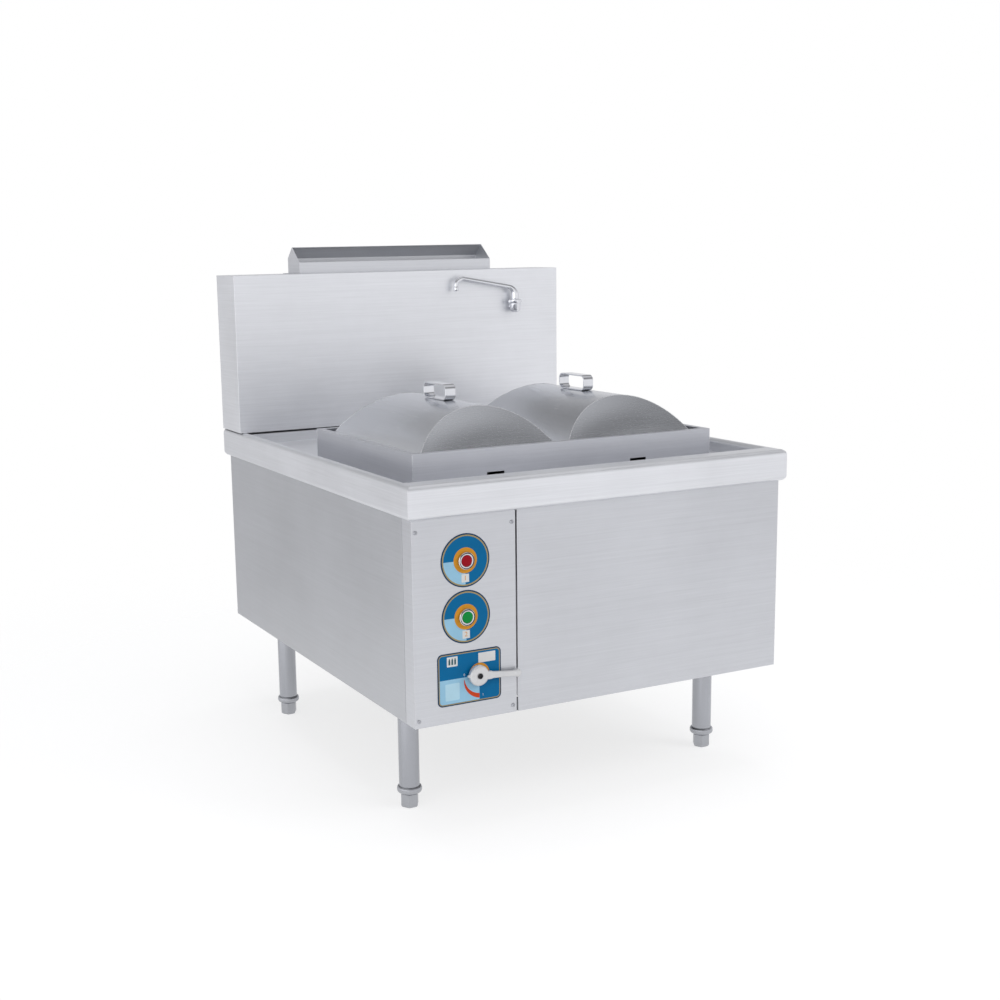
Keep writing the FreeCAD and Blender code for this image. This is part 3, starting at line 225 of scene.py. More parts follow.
tube_steel = steel("drawn_tube", TUBE_COLOUR, (FINE, FINE, LONG), low=0.14, high=0.2, metallic=0.92)
turned_steel = steel("turned_steel", TURNED_COLOUR, (LONG, LONG, FINE), low=0.24, high=0.34)


def turned(shape, start, axis, profile, sides=72, closed=False, paint=None):
    """Turn a profile of (run along the axis, radius) in millimetres; a radius of 0 closes it in a point."""
    along = Vector(axis).normalized()
    side = along.orthogonal().normalized()
    other = along.cross(side)
    rings = []
    for run, radius in profile:
        middle = start + along * (run / 1000)
        ring = []
        for k in range(sides if radius else 1):
            turn = 2 * math.pi * k / sides
            out = side * math.cos(turn) + other * math.sin(turn)
            ring.append(shape.verts.new(middle + out * (radius / 1000)))
        rings.append(ring)
    pairs = list(zip(rings, rings[1:]))
    if closed:
        pairs.append((rings[-1], rings[0]))
    for band, (low, high) in enumerate(pairs):
        for k in range(sides):
            n = (k + 1) % sides
            if len(low) == 1:
                corners = (low[0], high[k], high[n])
            elif len(high) == 1:
                corners = (low[k], low[n], high[0])
            else:
                corners = (low[k], low[n], high[n], high[k])
            face = shape.faces.new(corners)
            if paint:
                face.material_index = paint(band, face.calc_center_median())


def skinned(shape, loops, closed=False, slot=0):
    """Join loops of equal count side by side, with a flat cap on each end unless the run is closed."""
    rings = [[shape.verts.new(corner) for corner in loop] for loop in loops]
    pairs = list(zip(rings, rings[1:]))
    if closed:
        pairs.append((rings[-1], rings[0]))
    faces = []
    for low, high in pairs:
        for k in range(len(low)):
            n = (k + 1) % len(low)
            faces.append(shape.faces.new((low[k], low[n], high[n], high[k])))
    if not closed:
        faces.append(shape.faces.new(rings[0]))
        faces.append(shape.faces.new(rings[-1]))
    for face in faces:
        face.material_index = slot


def slab(shape, low, high, slot=0):
    corners = [(low.x, low.y), (high.x, low.y), (high.x, high.y), (low.x, high.y)]
    skinned(shape, [[Vector((x, y, z)) for x, y in corners] for z in (low.z, high.z)], slot=slot)


def shown(name, data):
    """New object in the scene."""
    item = bpy.data.objects.new(name, data)
    bpy.context.collection.objects.link(item)
    return item


def plain_mesh(host):
    """Mesh of an object as its modifiers leave it; the object itself goes."""
    bpy.context.view_layer.update()
    mesh = bpy.data.meshes.new_from_object(host.evaluated_get(bpy.context.evaluated_depsgraph_get()))
    bpy.data.objects.remove(host)
    return mesh


def placed(name, mesh, nodes, slot_name, bevel=0.0, steps=2, crease=32.0, body=None):
    """Put a finished mesh in the scene on the body of its CAD nodes, in their place."""
    item = shown(name, mesh)
    mesh.shade_smooth()
    if bevel:
        edge = item.modifiers.new("eased_edges", "BEVEL")
        edge.width = bevel / 1000
        edge.segments = steps
        edge.limit_method = "ANGLE"
        edge.angle_limit = math.radians(crease)
        edge.use_clamp_overlap = True
        flat = item.modifiers.new("flat_faces", "WEIGHTED_NORMAL")
        flat.keep_sharp = False
    else:
        mesh.set_sharp_from_angle(angle=math.radians(crease))
    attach(item, body or frame["nodes"][nodes[0]]["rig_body"])
    if nodes:
        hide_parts(*nodes)
    return item


def piece(name, shape, nodes, finishes, slot_name, **ways):
    """Close a worked shape and put it in the place of its CAD nodes."""
    bmesh.ops.recalc_face_normals(shape, faces=shape.faces)
    mesh = bpy.data.meshes.new(name)
    shape.to_mesh(mesh)
    shape.free()
    for finish in finishes:
        mesh.materials.append(finish)
    return placed(name, mesh, nodes, slot_name, **ways)


def growth(name, sizes):
    """Geometry tree with named sizes and a finish; returns it with its first and last nodes."""
    tree = bpy.data.node_groups.new(name, "GeometryNodeTree")
    face = tree.interface
    face.new_socket("Geometry", in_out="INPUT", socket_type="NodeSocketGeometry")
    face.new_socket("Geometry", in_out="OUTPUT", socket_type="NodeSocketGeometry")
    for label, value in sizes.items():
        kind = "NodeSocketInt" if isinstance(value, int) else "NodeSocketFloat"
        face.new_socket(label, in_out="INPUT", socket_type=kind).default_value = value
    face.new_socket("Finish", in_out="INPUT", socket_type="NodeSocketMaterial")
    start, end, smooth, real, finish = (add_node(tree, kind) for kind in (
        "NodeGroupInput", "NodeGroupOutput", "GeometryNodeSetShadeSmooth", "GeometryNodeRealizeInstances",
        "GeometryNodeSetMaterial"))
    wire(tree, (smooth, "Geometry", real, "Geometry"), (real, "Geometry", finish, "Geometry"),
         (start, "Finish", finish, "Material"), (finish, "Geometry", end, "Geometry"))
    return tree, start, smooth


def on_points(tree, start, smooth, source, output, turn=(0, 0, 0)):
    """Put what a node makes on every seed point."""
    spots = add_node(tree, "GeometryNodeInstanceOnPoints", {"Rotation": turn})
    wire(tree, (source, output, spots, "Instance"), (start, "Geometry", spots, "Points"),
         (spots, "Instances", smooth, "Geometry"))
    return tree


def grow(tree, points, edges, values):
    """Run a tree on seed points or edges and return the plain mesh that it makes."""
    seed = bpy.data.meshes.new(tree.name)
    seed.from_pydata(points, edges, [])
    host = shown(tree.name, seed)
    modifier = host.modifiers.new("growth", "NODES")
    modifier.node_group = tree
    for socket in tree.interface.items_tree:
        if socket.in_out == "INPUT" and socket.name in values:
            modifier[socket.identifier] = values[socket.name]
    return plain_mesh(host)


def thread_tree():
    """Thread ridge: a small round bar wound up from each point."""
    tree, start, smooth = growth("thread_ridge", {
        "Turns": 20.0, "Radius": 0.008, "Height": 0.03, "Ridge": 0.0005})
    coil = add_node(tree, "GeometryNodeCurveSpiral", {"Resolution": 20})
    bar = add_node(tree, "GeometryNodeCurvePrimitiveCircle", {"Resolution": 4})
    sweep = add_node(tree, "GeometryNodeCurveToMesh", {"Fill Caps": True})
    wire(tree, (start, "Turns", coil, "Rotations"), (start, "Radius", coil, "Start Radius"),
         (start, "Radius", coil, "End Radius"), (start, "Height", coil, "Height"),
         (start, "Ridge", bar, "Radius"), (coil, "Curve", sweep, "Curve"),
         (bar, "Curve", sweep, "Profile Curve"))
    return on_points(tree, start, smooth, sweep, "Mesh")


thread_ridge = thread_tree()


def add_thread(shape, foot, axis, radius, length, pitch, ridge, finish):
    """Thread on a round bar that starts at a place and runs along an axis; lengths in millimetres."""
    mesh = grow(thread_ridge, [Vector()], [], {
        "Turns": length / pitch, "Radius": radius / 1000, "Height": length / 1000, "Ridge": ridge / 1000,
        "Finish": finish,
    })
    mesh.transform(Matrix.Translation(foot) @ Vector(axis).to_track_quat("Z", "Y").to_matrix().to_4x4())
    shape.from_mesh(mesh)
    bpy.data.meshes.remove(mesh)


def ring_tree():
    """Turned ring with eased edges on every seed point."""
    tree, start, smooth = growth("end_ring", {
        "Middle Radius": 0.02, "Wall": 0.02, "Height": 0.017, "Ease": 0.002})
    path = add_node(tree, "GeometryNodeCurvePrimitiveCircle", {"Resolution": 72})
    section = add_node(tree, "GeometryNodeCurvePrimitiveQuadrilateral")
    eased = add_node(tree, "GeometryNodeFilletCurve", {"Count": 6}, mode="POLY")
    sweep = add_node(tree, "GeometryNodeCurveToMesh")
    wire(tree, (start, "Middle Radius", path, "Radius"), (start, "Wall", section, "Width"),
         (start, "Height", section, "Height"), (section, "Curve", eased, "Curve"),
         (start, "Ease", eased, "Radius"), (path, "Curve", sweep, "Curve"),
         (eased, "Curve", sweep, "Profile Curve"))
    return on_points(tree, start, smooth, sweep, "Mesh")


def foot_shape(x, y):
    """Hex foot with a bevelled sole and shoulder, on a threaded stud."""
    shape = bmesh.new()
    reach = FOOT_FLATS / math.sqrt(3)
    sole = 1 - FOOT_BEVEL / (FOOT_FLATS / 2)
    sections = [(0, sole), (FOOT_BEVEL * 0.35, (1 + sole) / 2 + 0.05), (FOOT_BEVEL, 1.0),
                (RING_LOW - FOOT_SHOULDER, 1.0), (RING_LOW - 0.5, 0.88)]
    loops = []
    for z, share in sections:
        loops.append([at(x + reach * share * math.cos(turn), y + reach * share * math.sin(turn), z)
                      for turn in (math.pi * k / 3 for k in range(6))])
    skinned(shape, loops)
    turned(shape, at(x, y, 0), (0, 0, 1), [
        (RING_LOW - 1, 0), (RING_LOW - 1, STUD_ROOT), (STUD_TOP - 2, STUD_ROOT), (STUD_TOP, STUD_ROOT - 2),
        (STUD_TOP, 0)], sides=32)
    add_thread(shape, at(x, y, RING_LOW), (0, 0, 1), STUD_ROOT, STUD_TOP - RING_LOW - STUD_PLAIN,
               THREAD_PITCH, THREAD_HALF, turned_steel)
    return shape


for corner, (x, y) in LEG_PLACES.items():
    tube = bmesh.new()
    turned(tube, at(x, y, 0), (0, 0, 1), [
        (RING_HIGH, LEG_BORE), (RING_HIGH, LEG_RADIUS), (LEG_TOP, LEG_RADIUS), (LEG_TOP, LEG_BORE)],
           closed=True)
    piece(f"leg_tube_{corner}", tube, [f"leg_{corner}"], [tube_steel], "tube_steel")
    piece(f"levelling_foot_{corner}", foot_shape(x, y), [f"foot_{corner}"], [turned_steel], "turned_steel",
          crease=40.0)
rings = grow(ring_tree(), [at(x, y, (RING_LOW + RING_HIGH) / 2) for x, y in LEG_PLACES.values()], [], {
    "Middle Radius": (RING_RADIUS + RING_BORE) / 2000, "Wall": (RING_RADIUS - RING_BORE) / 1000,
    "Height": (RING_HIGH - RING_LOW) / 1000, "Ease": RING_EASE / 1000, "Finish": turned_steel,
})
placed("end_rings", rings, ["leg_end_rings"], "turned_steel")

# Combustion chamber, burner, blower and gas train: welded sheet, cast iron, enamelled casings and brass.
# They hang on the frame inside the panels and show only from below.
chamber_steel = finish_material("heat_tinted_steel", (0.20, 0.18, 0.17, 1.0), 0.6, 0.45, 0.65, patch=7.0,
                                spread=0.2)
burner_iron = finish_material("burner_iron", (0.045, 0.045, 0.05, 1.0), 0.3, 0.6, 0.8, patch=20.0, spread=0.2,
                              bump=0.5)
motor_enamel = finish_material("motor_enamel", (0.055, 0.065, 0.08, 1.0), 0.0, 0.3, 0.45, patch=9.0, coat=0.3)
inner_steel = steel("inner_sheet", (0.36, 0.37, 0.39, 1.0), (LONG, FINE, FINE), low=0.3, high=0.42)
valve_brass = finish_material("valve_brass", (0.50, 0.36, 0.15, 1.0), 1.0, 0.25, 0.4, patch=14.0, spread=0.1)
dress(chamber_steel, "combustion_chamber")
dress(burner_iron, "burner_head")
dress(motor_enamel, "blower_housing", "blower_motor")
dress(inner_steel, "air_duct", "blower_wheel", "flue_duct")
dress(valve_brass, "valve_body", "valve_stem")

# Gas, water and drain pipes: plain tube. The gas and water ends stand out of the back with cut threads
# for the supply lines; the drain spigot hangs under the water pan.
PIPE_END, THREAD_START, THREAD_SHORT, PIPE_PITCH, PIPE_RIDGE, RIDGE_RISE = 1215, 4, 5, 2.3, 0.5, 0.55
PIPES = {"gas": (-336.5, 355, 12.4, 1177), "water": (346, 1096, 9.8, 1190)}
dress(tube_steel, "gas_supply_pipe", "gas_feed_pipe", "water_supply_pipe", "drain_pipe")
for name, (x, level, radius, wall) in PIPES.items():
    shape = bmesh.new()
    add_thread(shape, at(x, wall + THREAD_START, level), (0, 1, 0), radius + RIDGE_RISE,
               PIPE_END - wall - THREAD_SHORT, PIPE_PITCH, PIPE_RIDGE, turned_steel)
    piece(f"{name}_pipe_thread", shape, [], [turned_steel], "turned_steel", body="stove")

# Electrical box and cable gland: a moulded grey case on the right side and a black nylon gland behind.
# The case holds the ignition unit and the fan relay.
grey_plastic = finish_material("grey_plastic", (0.30, 0.31, 0.32, 1.0), 0.0, 0.45, 0.6, patch=15.0)
black_plastic = finish_material("black_plastic", (0.02, 0.02, 0.022, 1.0), 0.0, 0.4, 0.55)
dress(grey_plastic, "electrical_box")
dress(black_plastic, "cable_gland")

# Panels: 1.5 mm stainless, folded at the edges and brushed along their width.
# The control panel wraps the front left corner and is held by four pan-head screws.
PANEL_COLOUR = (0.62, 0.63, 0.66, 1.0)
# The side and rear sheets are the same stainless in a darker colour: painted shade for the faces turned away
# from the light.
SHADED_SIDE_COLOUR = (0.54, 0.55, 0.575, 1.0)
MERGE = 1e-5
SCREW_PLACES = ((-478, 684), (-478, 270), (-245.5, 684), (-245.5, 270))
SCREW_RADIUS, SCREW_RISE, PANEL_FACE = 4.5, 2.4, 13
CROWN_SHARE, CROSS_BAR = 0.72, (0.0052, 0.0010, 0.0016)
front_steel = steel("front_sheet", PANEL_COLOUR, (LONG, LONG, FINE))
shaded_side_steel = steel("shaded_side_sheet", SHADED_SIDE_COLOUR, (LONG, LONG, FINE))


def softened(name, node, finish, slot_name, width=0.5):
    """Folded sheet with eased edges: the node's own form, its loose triangles merged into whole faces."""
    shape = bmesh.new()
    shape.from_mesh(frame["nodes"][node].data)
    bmesh.ops.remove_doubles(shape, verts=shape.verts, dist=MERGE)
    bmesh.ops.dissolve_limit(shape, angle_limit=math.radians(1.0), verts=shape.verts, edges=shape.edges)
    mesh = bpy.data.meshes.new(name)
    shape.to_mesh(mesh)
    shape.free()
    mesh.materials.clear()
    mesh.materials.append(finish)
    return placed(name, mesh, [node], slot_name, bevel=width)


def screw_tree():
    """Pan head with a cross recess on every seed point, facing the front."""
    tree, start, smooth = growth("pan_head_screw", {"Radius": 0.0045, "Rise": 0.0024})
    low = add_node(tree, "GeometryNodeMeshCylinder", {"Vertices": 32})
    crown = add_node(tree, "GeometryNodeMeshCone", {"Vertices": 32})
    half, narrow, quarter = (maths(tree, "MULTIPLY", {1: share}) for share in (0.5, CROWN_SHARE, 0.25))
    head = add_node(tree, "GeometryNodeJoinGeometry")
    carved = add_node(tree, "GeometryNodeMeshBoolean", operation="DIFFERENCE", solver="EXACT")
    wire(tree, (start, "Radius", low, "Radius"), (start, "Rise", half, 0), (start, "Rise", quarter, 0),
         (start, "Radius", narrow, 0), (half, "Value", low, "Depth"),
         (start, "Radius", crown, "Radius Bottom"), (narrow, "Value", crown, "Radius Top"),
         (half, "Value", crown, "Depth"))
    for height, part in ((quarter, low), (half, crown)):
        lift = add_node(tree, "ShaderNodeCombineXYZ")
        raised = add_node(tree, "GeometryNodeTransform")
        wire(tree, (height, "Value", lift, "Z"), (lift, "Vector", raised, "Translation"),
             (part, "Mesh", raised, "Geometry"), (raised, "Geometry", head, "Geometry"))
    wire(tree, (head, "Geometry", carved, "Mesh 1"))
    for turn in (35, 125):
        bar = add_node(tree, "GeometryNodeMeshCube", {"Size": CROSS_BAR})
        spun = add_node(tree, "GeometryNodeTransform", {
            "Rotation": (0, 0, math.radians(turn)), "Translation": (0, 0, SCREW_RISE / 1000)})
        wire(tree, (bar, "Mesh", spun, "Geometry"), (spun, "Geometry", carved, "Mesh 2"))
    return on_points(tree, start, smooth, carved, "Mesh", turn=(math.pi / 2, 0, 0))


# The left, right and rear sheets take the darker steel, so shade is painted into their colour.
for panel, finish in (("front", front_steel), ("control", front_steel), ("left", shaded_side_steel),
                      ("right", shaded_side_steel)):
    softened(f"{panel}_panel_sheet", f"{panel}_panel", finish, "brushed_sheet")
softened("rear_panel_sheet", "rear_panel", shaded_side_steel, "inner_sheet")
screws = grow(screw_tree(), [at(x, PANEL_FACE, z) for x, z in SCREW_PLACES], [], {
    "Radius": SCREW_RADIUS / 1000, "Rise": SCREW_RISE / 1000, "Finish": turned_steel,
})
placed("panel_screw_heads", screws, ["panel_screws"], "turned_steel")

# Worktop: pressed and welded stainless with a rolled apron, a sunk well and a shelf for the splashback.
# The rolled edges meet in mitres at the front corners, welded and ground bright.
WORKTOP_COLOUR = (0.79, 0.80, 0.83, 1.0)
RIM_TOP, RIM_BOTTOM, RIM_ROLL, RIM_HALF = 785, 710, 13, 500
MITRE_STEPS, MITRE_BEAD, BEAD_SINK = 8, 0.45, 0.5
worktop_steel = steel("worktop_sheet", WORKTOP_COLOUR, (LONG, LONG, FINE))
ground_weld = finish_material("ground_weld", (0.80, 0.81, 0.83, 1.0), 1.0, 0.2, 0.35, patch=60.0, spread=0.08)


def bead_tree():
    """Weld bead along the seed edges; its thickness changes a little from ripple to ripple."""
    tree, start, smooth = growth("weld_bead", {"Radius": 0.0008, "Ripple": 0.06, "Spacing": 0.004, "Seed": 3})
    curve = add_node(tree, "GeometryNodeMeshToCurve")
    even = add_node(tree, "GeometryNodeResampleCurve", mode="LENGTH")
    bar = add_node(tree, "GeometryNodeCurvePrimitiveCircle", {"Resolution": 6})
    least = maths(tree, "SUBTRACT", {0: 1.0})
    most = maths(tree, "ADD", {0: 1.0})
    ripple = add_node(tree, "FunctionNodeRandomValue", data_type="FLOAT")
    sweep = add_node(tree, "GeometryNodeCurveToMesh", {"Fill Caps": True})
    low, high, share = (next(k for k, socket in enumerate(sockets) if socket.enabled and socket.name == label)
                        for sockets, label in ((ripple.inputs, "Min"), (ripple.inputs, "Max"),
                                               (ripple.outputs, "Value")))
    wire(tree, (start, "Geometry", curve, "Mesh"), (curve, "Curve", even, "Curve"),
         (start, "Spacing", even, "Length"), (start, "Radius", bar, "Radius"), (start, "Ripple", least, 1),
         (start, "Ripple", most, 1), (least, "Value", ripple, low), (most, "Value", ripple, high),
         (start, "Seed", ripple, "Seed"), (even, "Curve", sweep, "Curve"),
         (bar, "Curve", sweep, "Profile Curve"), (ripple, share, sweep, "Scale"),
         (sweep, "Mesh", smooth, "Geometry"))
    return tree


weld_bead = bead_tree()


def bead(name, lines, radius, body, slot_name, seed=3, spacing=4):
    """Weld beads along lines of places, all on one body."""
    points = []
    edges = []
    for line in lines:
        edges += [(len(points) + k, len(points) + k + 1) for k in range(len(line) - 1)]
        points += line
    mesh = grow(weld_bead, points, edges, {
        "Radius": radius / 1000, "Spacing": spacing / 1000, "Seed": seed, "Finish": ground_weld,
    })
    return placed(name, mesh, [], slot_name, body=body, crease=80.0)


softened("worktop_sheet", "worktop", worktop_steel, "brushed_sheet", width=0.6)
mitres = []
for side in (-1, 1):
    mitre = []
    for step in range(-MITRE_STEPS, MITRE_STEPS + 1):
        turn = math.radians(90 * abs(step) / MITRE_STEPS)
        inward = RIM_ROLL * (1 - math.cos(turn)) + BEAD_SINK
        middle = RIM_TOP - RIM_ROLL if step > 0 else RIM_BOTTOM + RIM_ROLL
        rise = math.copysign(RIM_ROLL * math.sin(turn), step)
        mitre.append(at(side * (RIM_HALF - inward), inward, middle + rise))
    mitres.append(mitre)
bead("rim_mitre_welds", mitres, MITRE_BEAD, "stove", "brushed_sheet", spacing=3)

# Steam box, deck, trays and water pan: a welded collar stands in the well round a folded deck.
# Slotted trays hang in the deck over the deep water pan.
COLLAR_COLOUR = (0.58, 0.59, 0.63, 1.0)
BOX_HALF, BOX_FRONT, BOX_BACK, BOX_TOP, WELL_FLOOR = 404, 174, 730, 824.5, 754
COLLAR_BEAD, CORNER_INSET = 0.5, 0.3
collar_steel = steel("collar_sheet", COLLAR_COLOUR, (LONG, LONG, FINE))
tray_steel = steel("tray_sheet", (0.52, 0.53, 0.55, 1.0), (LONG, FINE, FINE), low=0.2, high=0.3)
softened("steam_collar", "steam_box", collar_steel, "brushed_sheet")
softened("deck_sheet", "seat_deck", inner_steel, "inner_sheet")
softened("pan_sheet", "water_pan", inner_steel, "inner_sheet")
for side in ("left", "right"):
    softened(f"tray_sheet_{side}", f"steam_tray_{side}", tray_steel, "bright_sheet", width=0.4)
corner_lines = [[at(x, y, WELL_FLOOR + 1), at(x, y, BOX_TOP - 0.8)]
                for x in (-BOX_HALF + CORNER_INSET, BOX_HALF - CORNER_INSET)
                for y in (BOX_FRONT + CORNER_INSET, BOX_BACK - CORNER_INSET)]
bead("collar_corner_welds", corner_lines, COLLAR_BEAD, "stove", "brushed_sheet", seed=5)

# Lids: bright sheet rolled into a vault, with raked end plates welded in along the arcs.
# A polished strap, bent into a loop, is welded on each crest as the handle.
LID_COLOUR = (0.72, 0.735, 0.77, 1.0)
PLATE_COLOUR = (0.56, 0.575, 0.605, 1.0)
LID_MIDDLES = {"left": -194, "right": 194}
LID_HALF, LID_RADIUS, LID_CROWN, LID_SPRING, LID_SEAT = 177.5, 208.6, 911, 812, 800
LID_FRONT, LID_BACK, RAKE_SLOPE, LID_SHEET, ARC_STEPS = 202.4, 701.6, 0.66, 1.5, 72
DISH_STEPS, DISH_DEPTH, ARC_BEAD, BEAD_SKIN = 16, 5, 0.8, 0.3
STRAP_WIDTH, STRAP_LENGTH, STRAP_RISE, STRAP_THICK, STRAP_ROUND = 28, 118, 39, 3.2, 14
lid_steel = steel("lid_sheet", LID_COLOUR, (FINE, LONG, FINE), low=0.16, high=0.22, bump=0.004, grain=0.014,
                  metallic=0.95)
plate_steel = steel("end_plate_sheet", PLATE_COLOUR, (LONG, FINE, FINE), low=0.18, high=0.24, bump=0.003,
                    grain=0.014, metallic=0.95)
chrome = finish_material("chrome", (0.72, 0.73, 0.76, 1.0), 1.0, 0.05, 0.12, patch=30.0, spread=0.03)


def vault_arc(middle, skin, front):
    """Edge of the rolled sheet on a raked end, from one foot of the vault to the other."""
    line = [at(middle - LID_HALF + skin, (LID_FRONT + skin) if front else (LID_BACK - skin), LID_SEAT)]
    half = math.asin((LID_HALF - skin) / (LID_RADIUS - skin))
    for k in range(ARC_STEPS + 1):
        turn = -half + 2 * half * k / ARC_STEPS
        z = LID_CROWN - LID_RADIUS + (LID_RADIUS - skin) * math.cos(turn)
        inward = RAKE_SLOPE * (z - LID_SPRING) + skin * math.sqrt(1 + RAKE_SLOPE ** 2)
        y = LID_FRONT + inward if front else LID_BACK - inward
        line.append(at(middle + (LID_RADIUS - skin) * math.sin(turn), y, z))
    line.append(at(middle + LID_HALF - skin, (LID_FRONT + skin) if front else (LID_BACK - skin), LID_SEAT))
    return line


def dished_plate(shape, rim, facing):
    """End plate in rows between opposite corners of its rim, dished outwards a few millimetres."""
    outward = Vector((0, facing, RAKE_SLOPE)).normalized() * (DISH_DEPTH / 1000)
    half = len(rim) // 2
    low = rim[1].co.z
    span = rim[half].co.z - low
    rows = []
    for k in range(half):
        left, right = rim[k], rim[-1 - k]
        rise = math.sin(math.pi * max(0.0, left.co.z - low) / span)
        row = [left]
        for step in range(1, DISH_STEPS):
            share = step / DISH_STEPS
            lift = outward * rise * (1 - (2 * share - 1) ** 2)
            row.append(shape.verts.new(left.co.lerp(right.co, share) + lift))
        rows.append(row + [right])
    for low_row, high_row in zip(rows, rows[1:]):
        for k in range(DISH_STEPS):
            corners = (low_row[k], low_row[k + 1], high_row[k + 1], high_row[k])
            shape.faces.new(corners).material_index = 1
    for k in range(DISH_STEPS):
        shape.faces.new((rows[-1][k], rows[-1][k + 1], rim[half])).material_index = 1
    return rows[0]


def lid_shape(middle):
    """Closed shell of the vault and its two end plates; the end plates take the second finish."""
    shape = bmesh.new()
    mouths = []
    for skin in (0, LID_SHEET):
        arcs = [[shape.verts.new(place) for place in vault_arc(middle, skin, front)]
                for front in (True, False)]
        for low, high in zip(zip(arcs[0], arcs[0][1:]), zip(arcs[1], arcs[1][1:])):
            shape.faces.new((low[0], low[1], high[1], high[0]))
        front_row, back_row = (dished_plate(shape, arc, facing) for arc, facing in zip(arcs, (-1, 1)))
        mouths.append(front_row + back_row[::-1])
    outer, inner = mouths
    for k in range(len(outer)):
        n = (k + 1) % len(outer)
        shape.faces.new((outer[k], outer[n], inner[n], inner[k]))
    return shape


def strap_shape(middle):
    """Flat strap bent into a closed loop with round corners."""
    shape = bmesh.new()
    centre_y = (LID_FRONT + LID_BACK) / 2
    loops = []
    for corner_y, corner_z, start in ((1, 1, 0), (-1, 1, 90), (-1, -1, 180), (1, -1, 270)):
        for k in range(9):
            turn = math.radians(start + 90 * k / 8)
            hub_y = centre_y + corner_y * (STRAP_LENGTH / 2 - STRAP_ROUND)
            hub_z = LID_CROWN + STRAP_RISE / 2 + corner_z * (STRAP_RISE / 2 - STRAP_ROUND)
            loop = []
            for x, radius in ((-1, STRAP_ROUND), (1, STRAP_ROUND), (1, STRAP_ROUND - STRAP_THICK),
                              (-1, STRAP_ROUND - STRAP_THICK)):
                loop.append(at(middle + x * STRAP_WIDTH / 2, hub_y + radius * math.cos(turn),
                               hub_z + radius * math.sin(turn)))
            loops.append(loop)
    skinned(shape, loops, closed=True)
    return shape


for side, middle in LID_MIDDLES.items():
    body = frame["nodes"][f"lid_{side}"]["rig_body"]
    piece(f"lid_vault_{side}", lid_shape(middle), [f"lid_{side}"], [lid_steel, plate_steel], "bright_sheet")
    arcs = [vault_arc(middle, BEAD_SKIN, front)[1:-1] for front in (True, False)]
    bead(f"lid_arc_welds_{side}", arcs, ARC_BEAD, body, "bright_sheet", seed=11)
    piece(f"handle_strap_{side}", strap_shape(middle), [f"lid_handle_{side}"], [chrome], "chrome", bevel=0.7,
          steps=3, crease=50.0)

# Splashback and flue outlet: a folded brushed shell with a flat cover behind.
# The hood over the flue is welded from sheet and open at the top of its slanted back.
SPLASH_COLOUR = (0.82, 0.83, 0.86, 1.0)
HOOD_COLOUR = (0.66, 0.67, 0.70, 1.0)
splash_steel = steel("splash_sheet", SPLASH_COLOUR, (LONG, LONG, FINE))
hood_steel = steel("hood_sheet", HOOD_COLOUR, (LONG, LONG, FINE))
softened("splashback_shell", "splashback", splash_steel, "brushed_sheet", width=0.8)
softened("splashback_cover_sheet", "splashback_cover", inner_steel, "inner_sheet")
softened("flue_hood", "flue_outlet", hood_steel, "brushed_sheet")

# Swing spout: a chromed wall elbow, a lugged union nut, and a tube that tapers through its first bend.
# The nozzle is a short sleeve pushed on the turned-down end of the tube.
TAP_X, TAP_BACK, TAP_LOW, TAP_SHOULDER, TAP_RADIUS, TAP_LEVEL = 346, 1025, 1082, 1107, 15.5, 1096
SOCKET_RADIUS, SOCKET_DEPTH, SHELF_FRONT = 6.05, 14, 1047
NIPPLE_RADIUS, NUT_RADIUS, NUT_HEIGHT, NUT_LUG, NUT_BORE = 12.1, 18, 12, 22.5, 10.95
LUG_HALF, LUG_RISE = 4, 3.8
NECK_RADIUS, PIPE_RADIUS, NECK_TOP, NECK_BEND, TIP_BEND, SPOUT_REACH = 10.9, 6, 1128, 28, 20, 193
STUB_RADIUS, STUB_LOW, NECK_LOW, SPOUT_RISE, NOZZLE_RADIUS, NOZZLE_LOW = 6, 1095, 1107.3, 10, 7, 1147
BEND_STEPS, PIPE_SIDES = 18, 40

tap = bmesh.new()
turned(tap, at(TAP_X, TAP_BACK, 0), (0, 0, 1), [
    (TAP_LOW, 0), (TAP_LOW, 9), (TAP_LOW + 1.2, 11.6), (TAP_LOW + 4, 13.6), (TAP_LOW + 8, TAP_RADIUS - 0.2),
    (TAP_SHOULDER - 4, TAP_RADIUS - 0.2), (TAP_SHOULDER - 3.4, TAP_RADIUS), (TAP_SHOULDER - 0.6, TAP_RADIUS),
    (TAP_SHOULDER, TAP_RADIUS - 0.6), (TAP_SHOULDER, SOCKET_RADIUS),
    (TAP_SHOULDER - SOCKET_DEPTH, SOCKET_RADIUS), (TAP_SHOULDER - SOCKET_DEPTH, 0)])
hexagon = [Vector((math.cos(math.pi * k / 3), math.sin(math.pi * k / 3))) for k in range(6)]
skinned(tap, [[at(TAP_X + size * p.x, y, TAP_LEVEL + size * p.y) for p in hexagon]
              for y, size in ((y, NIPPLE_RADIUS * share) for y, share in (
                  (TAP_BACK, 0.9), (TAP_BACK + 15.4, 0.9), (TAP_BACK + 16, 1.0), (SHELF_FRONT - 0.6, 1.0),
                  (SHELF_FRONT, 0.95)))])
piece("tap_elbow", tap, ["faucet_elbow"], [chrome], "chrome", crease=40.0)

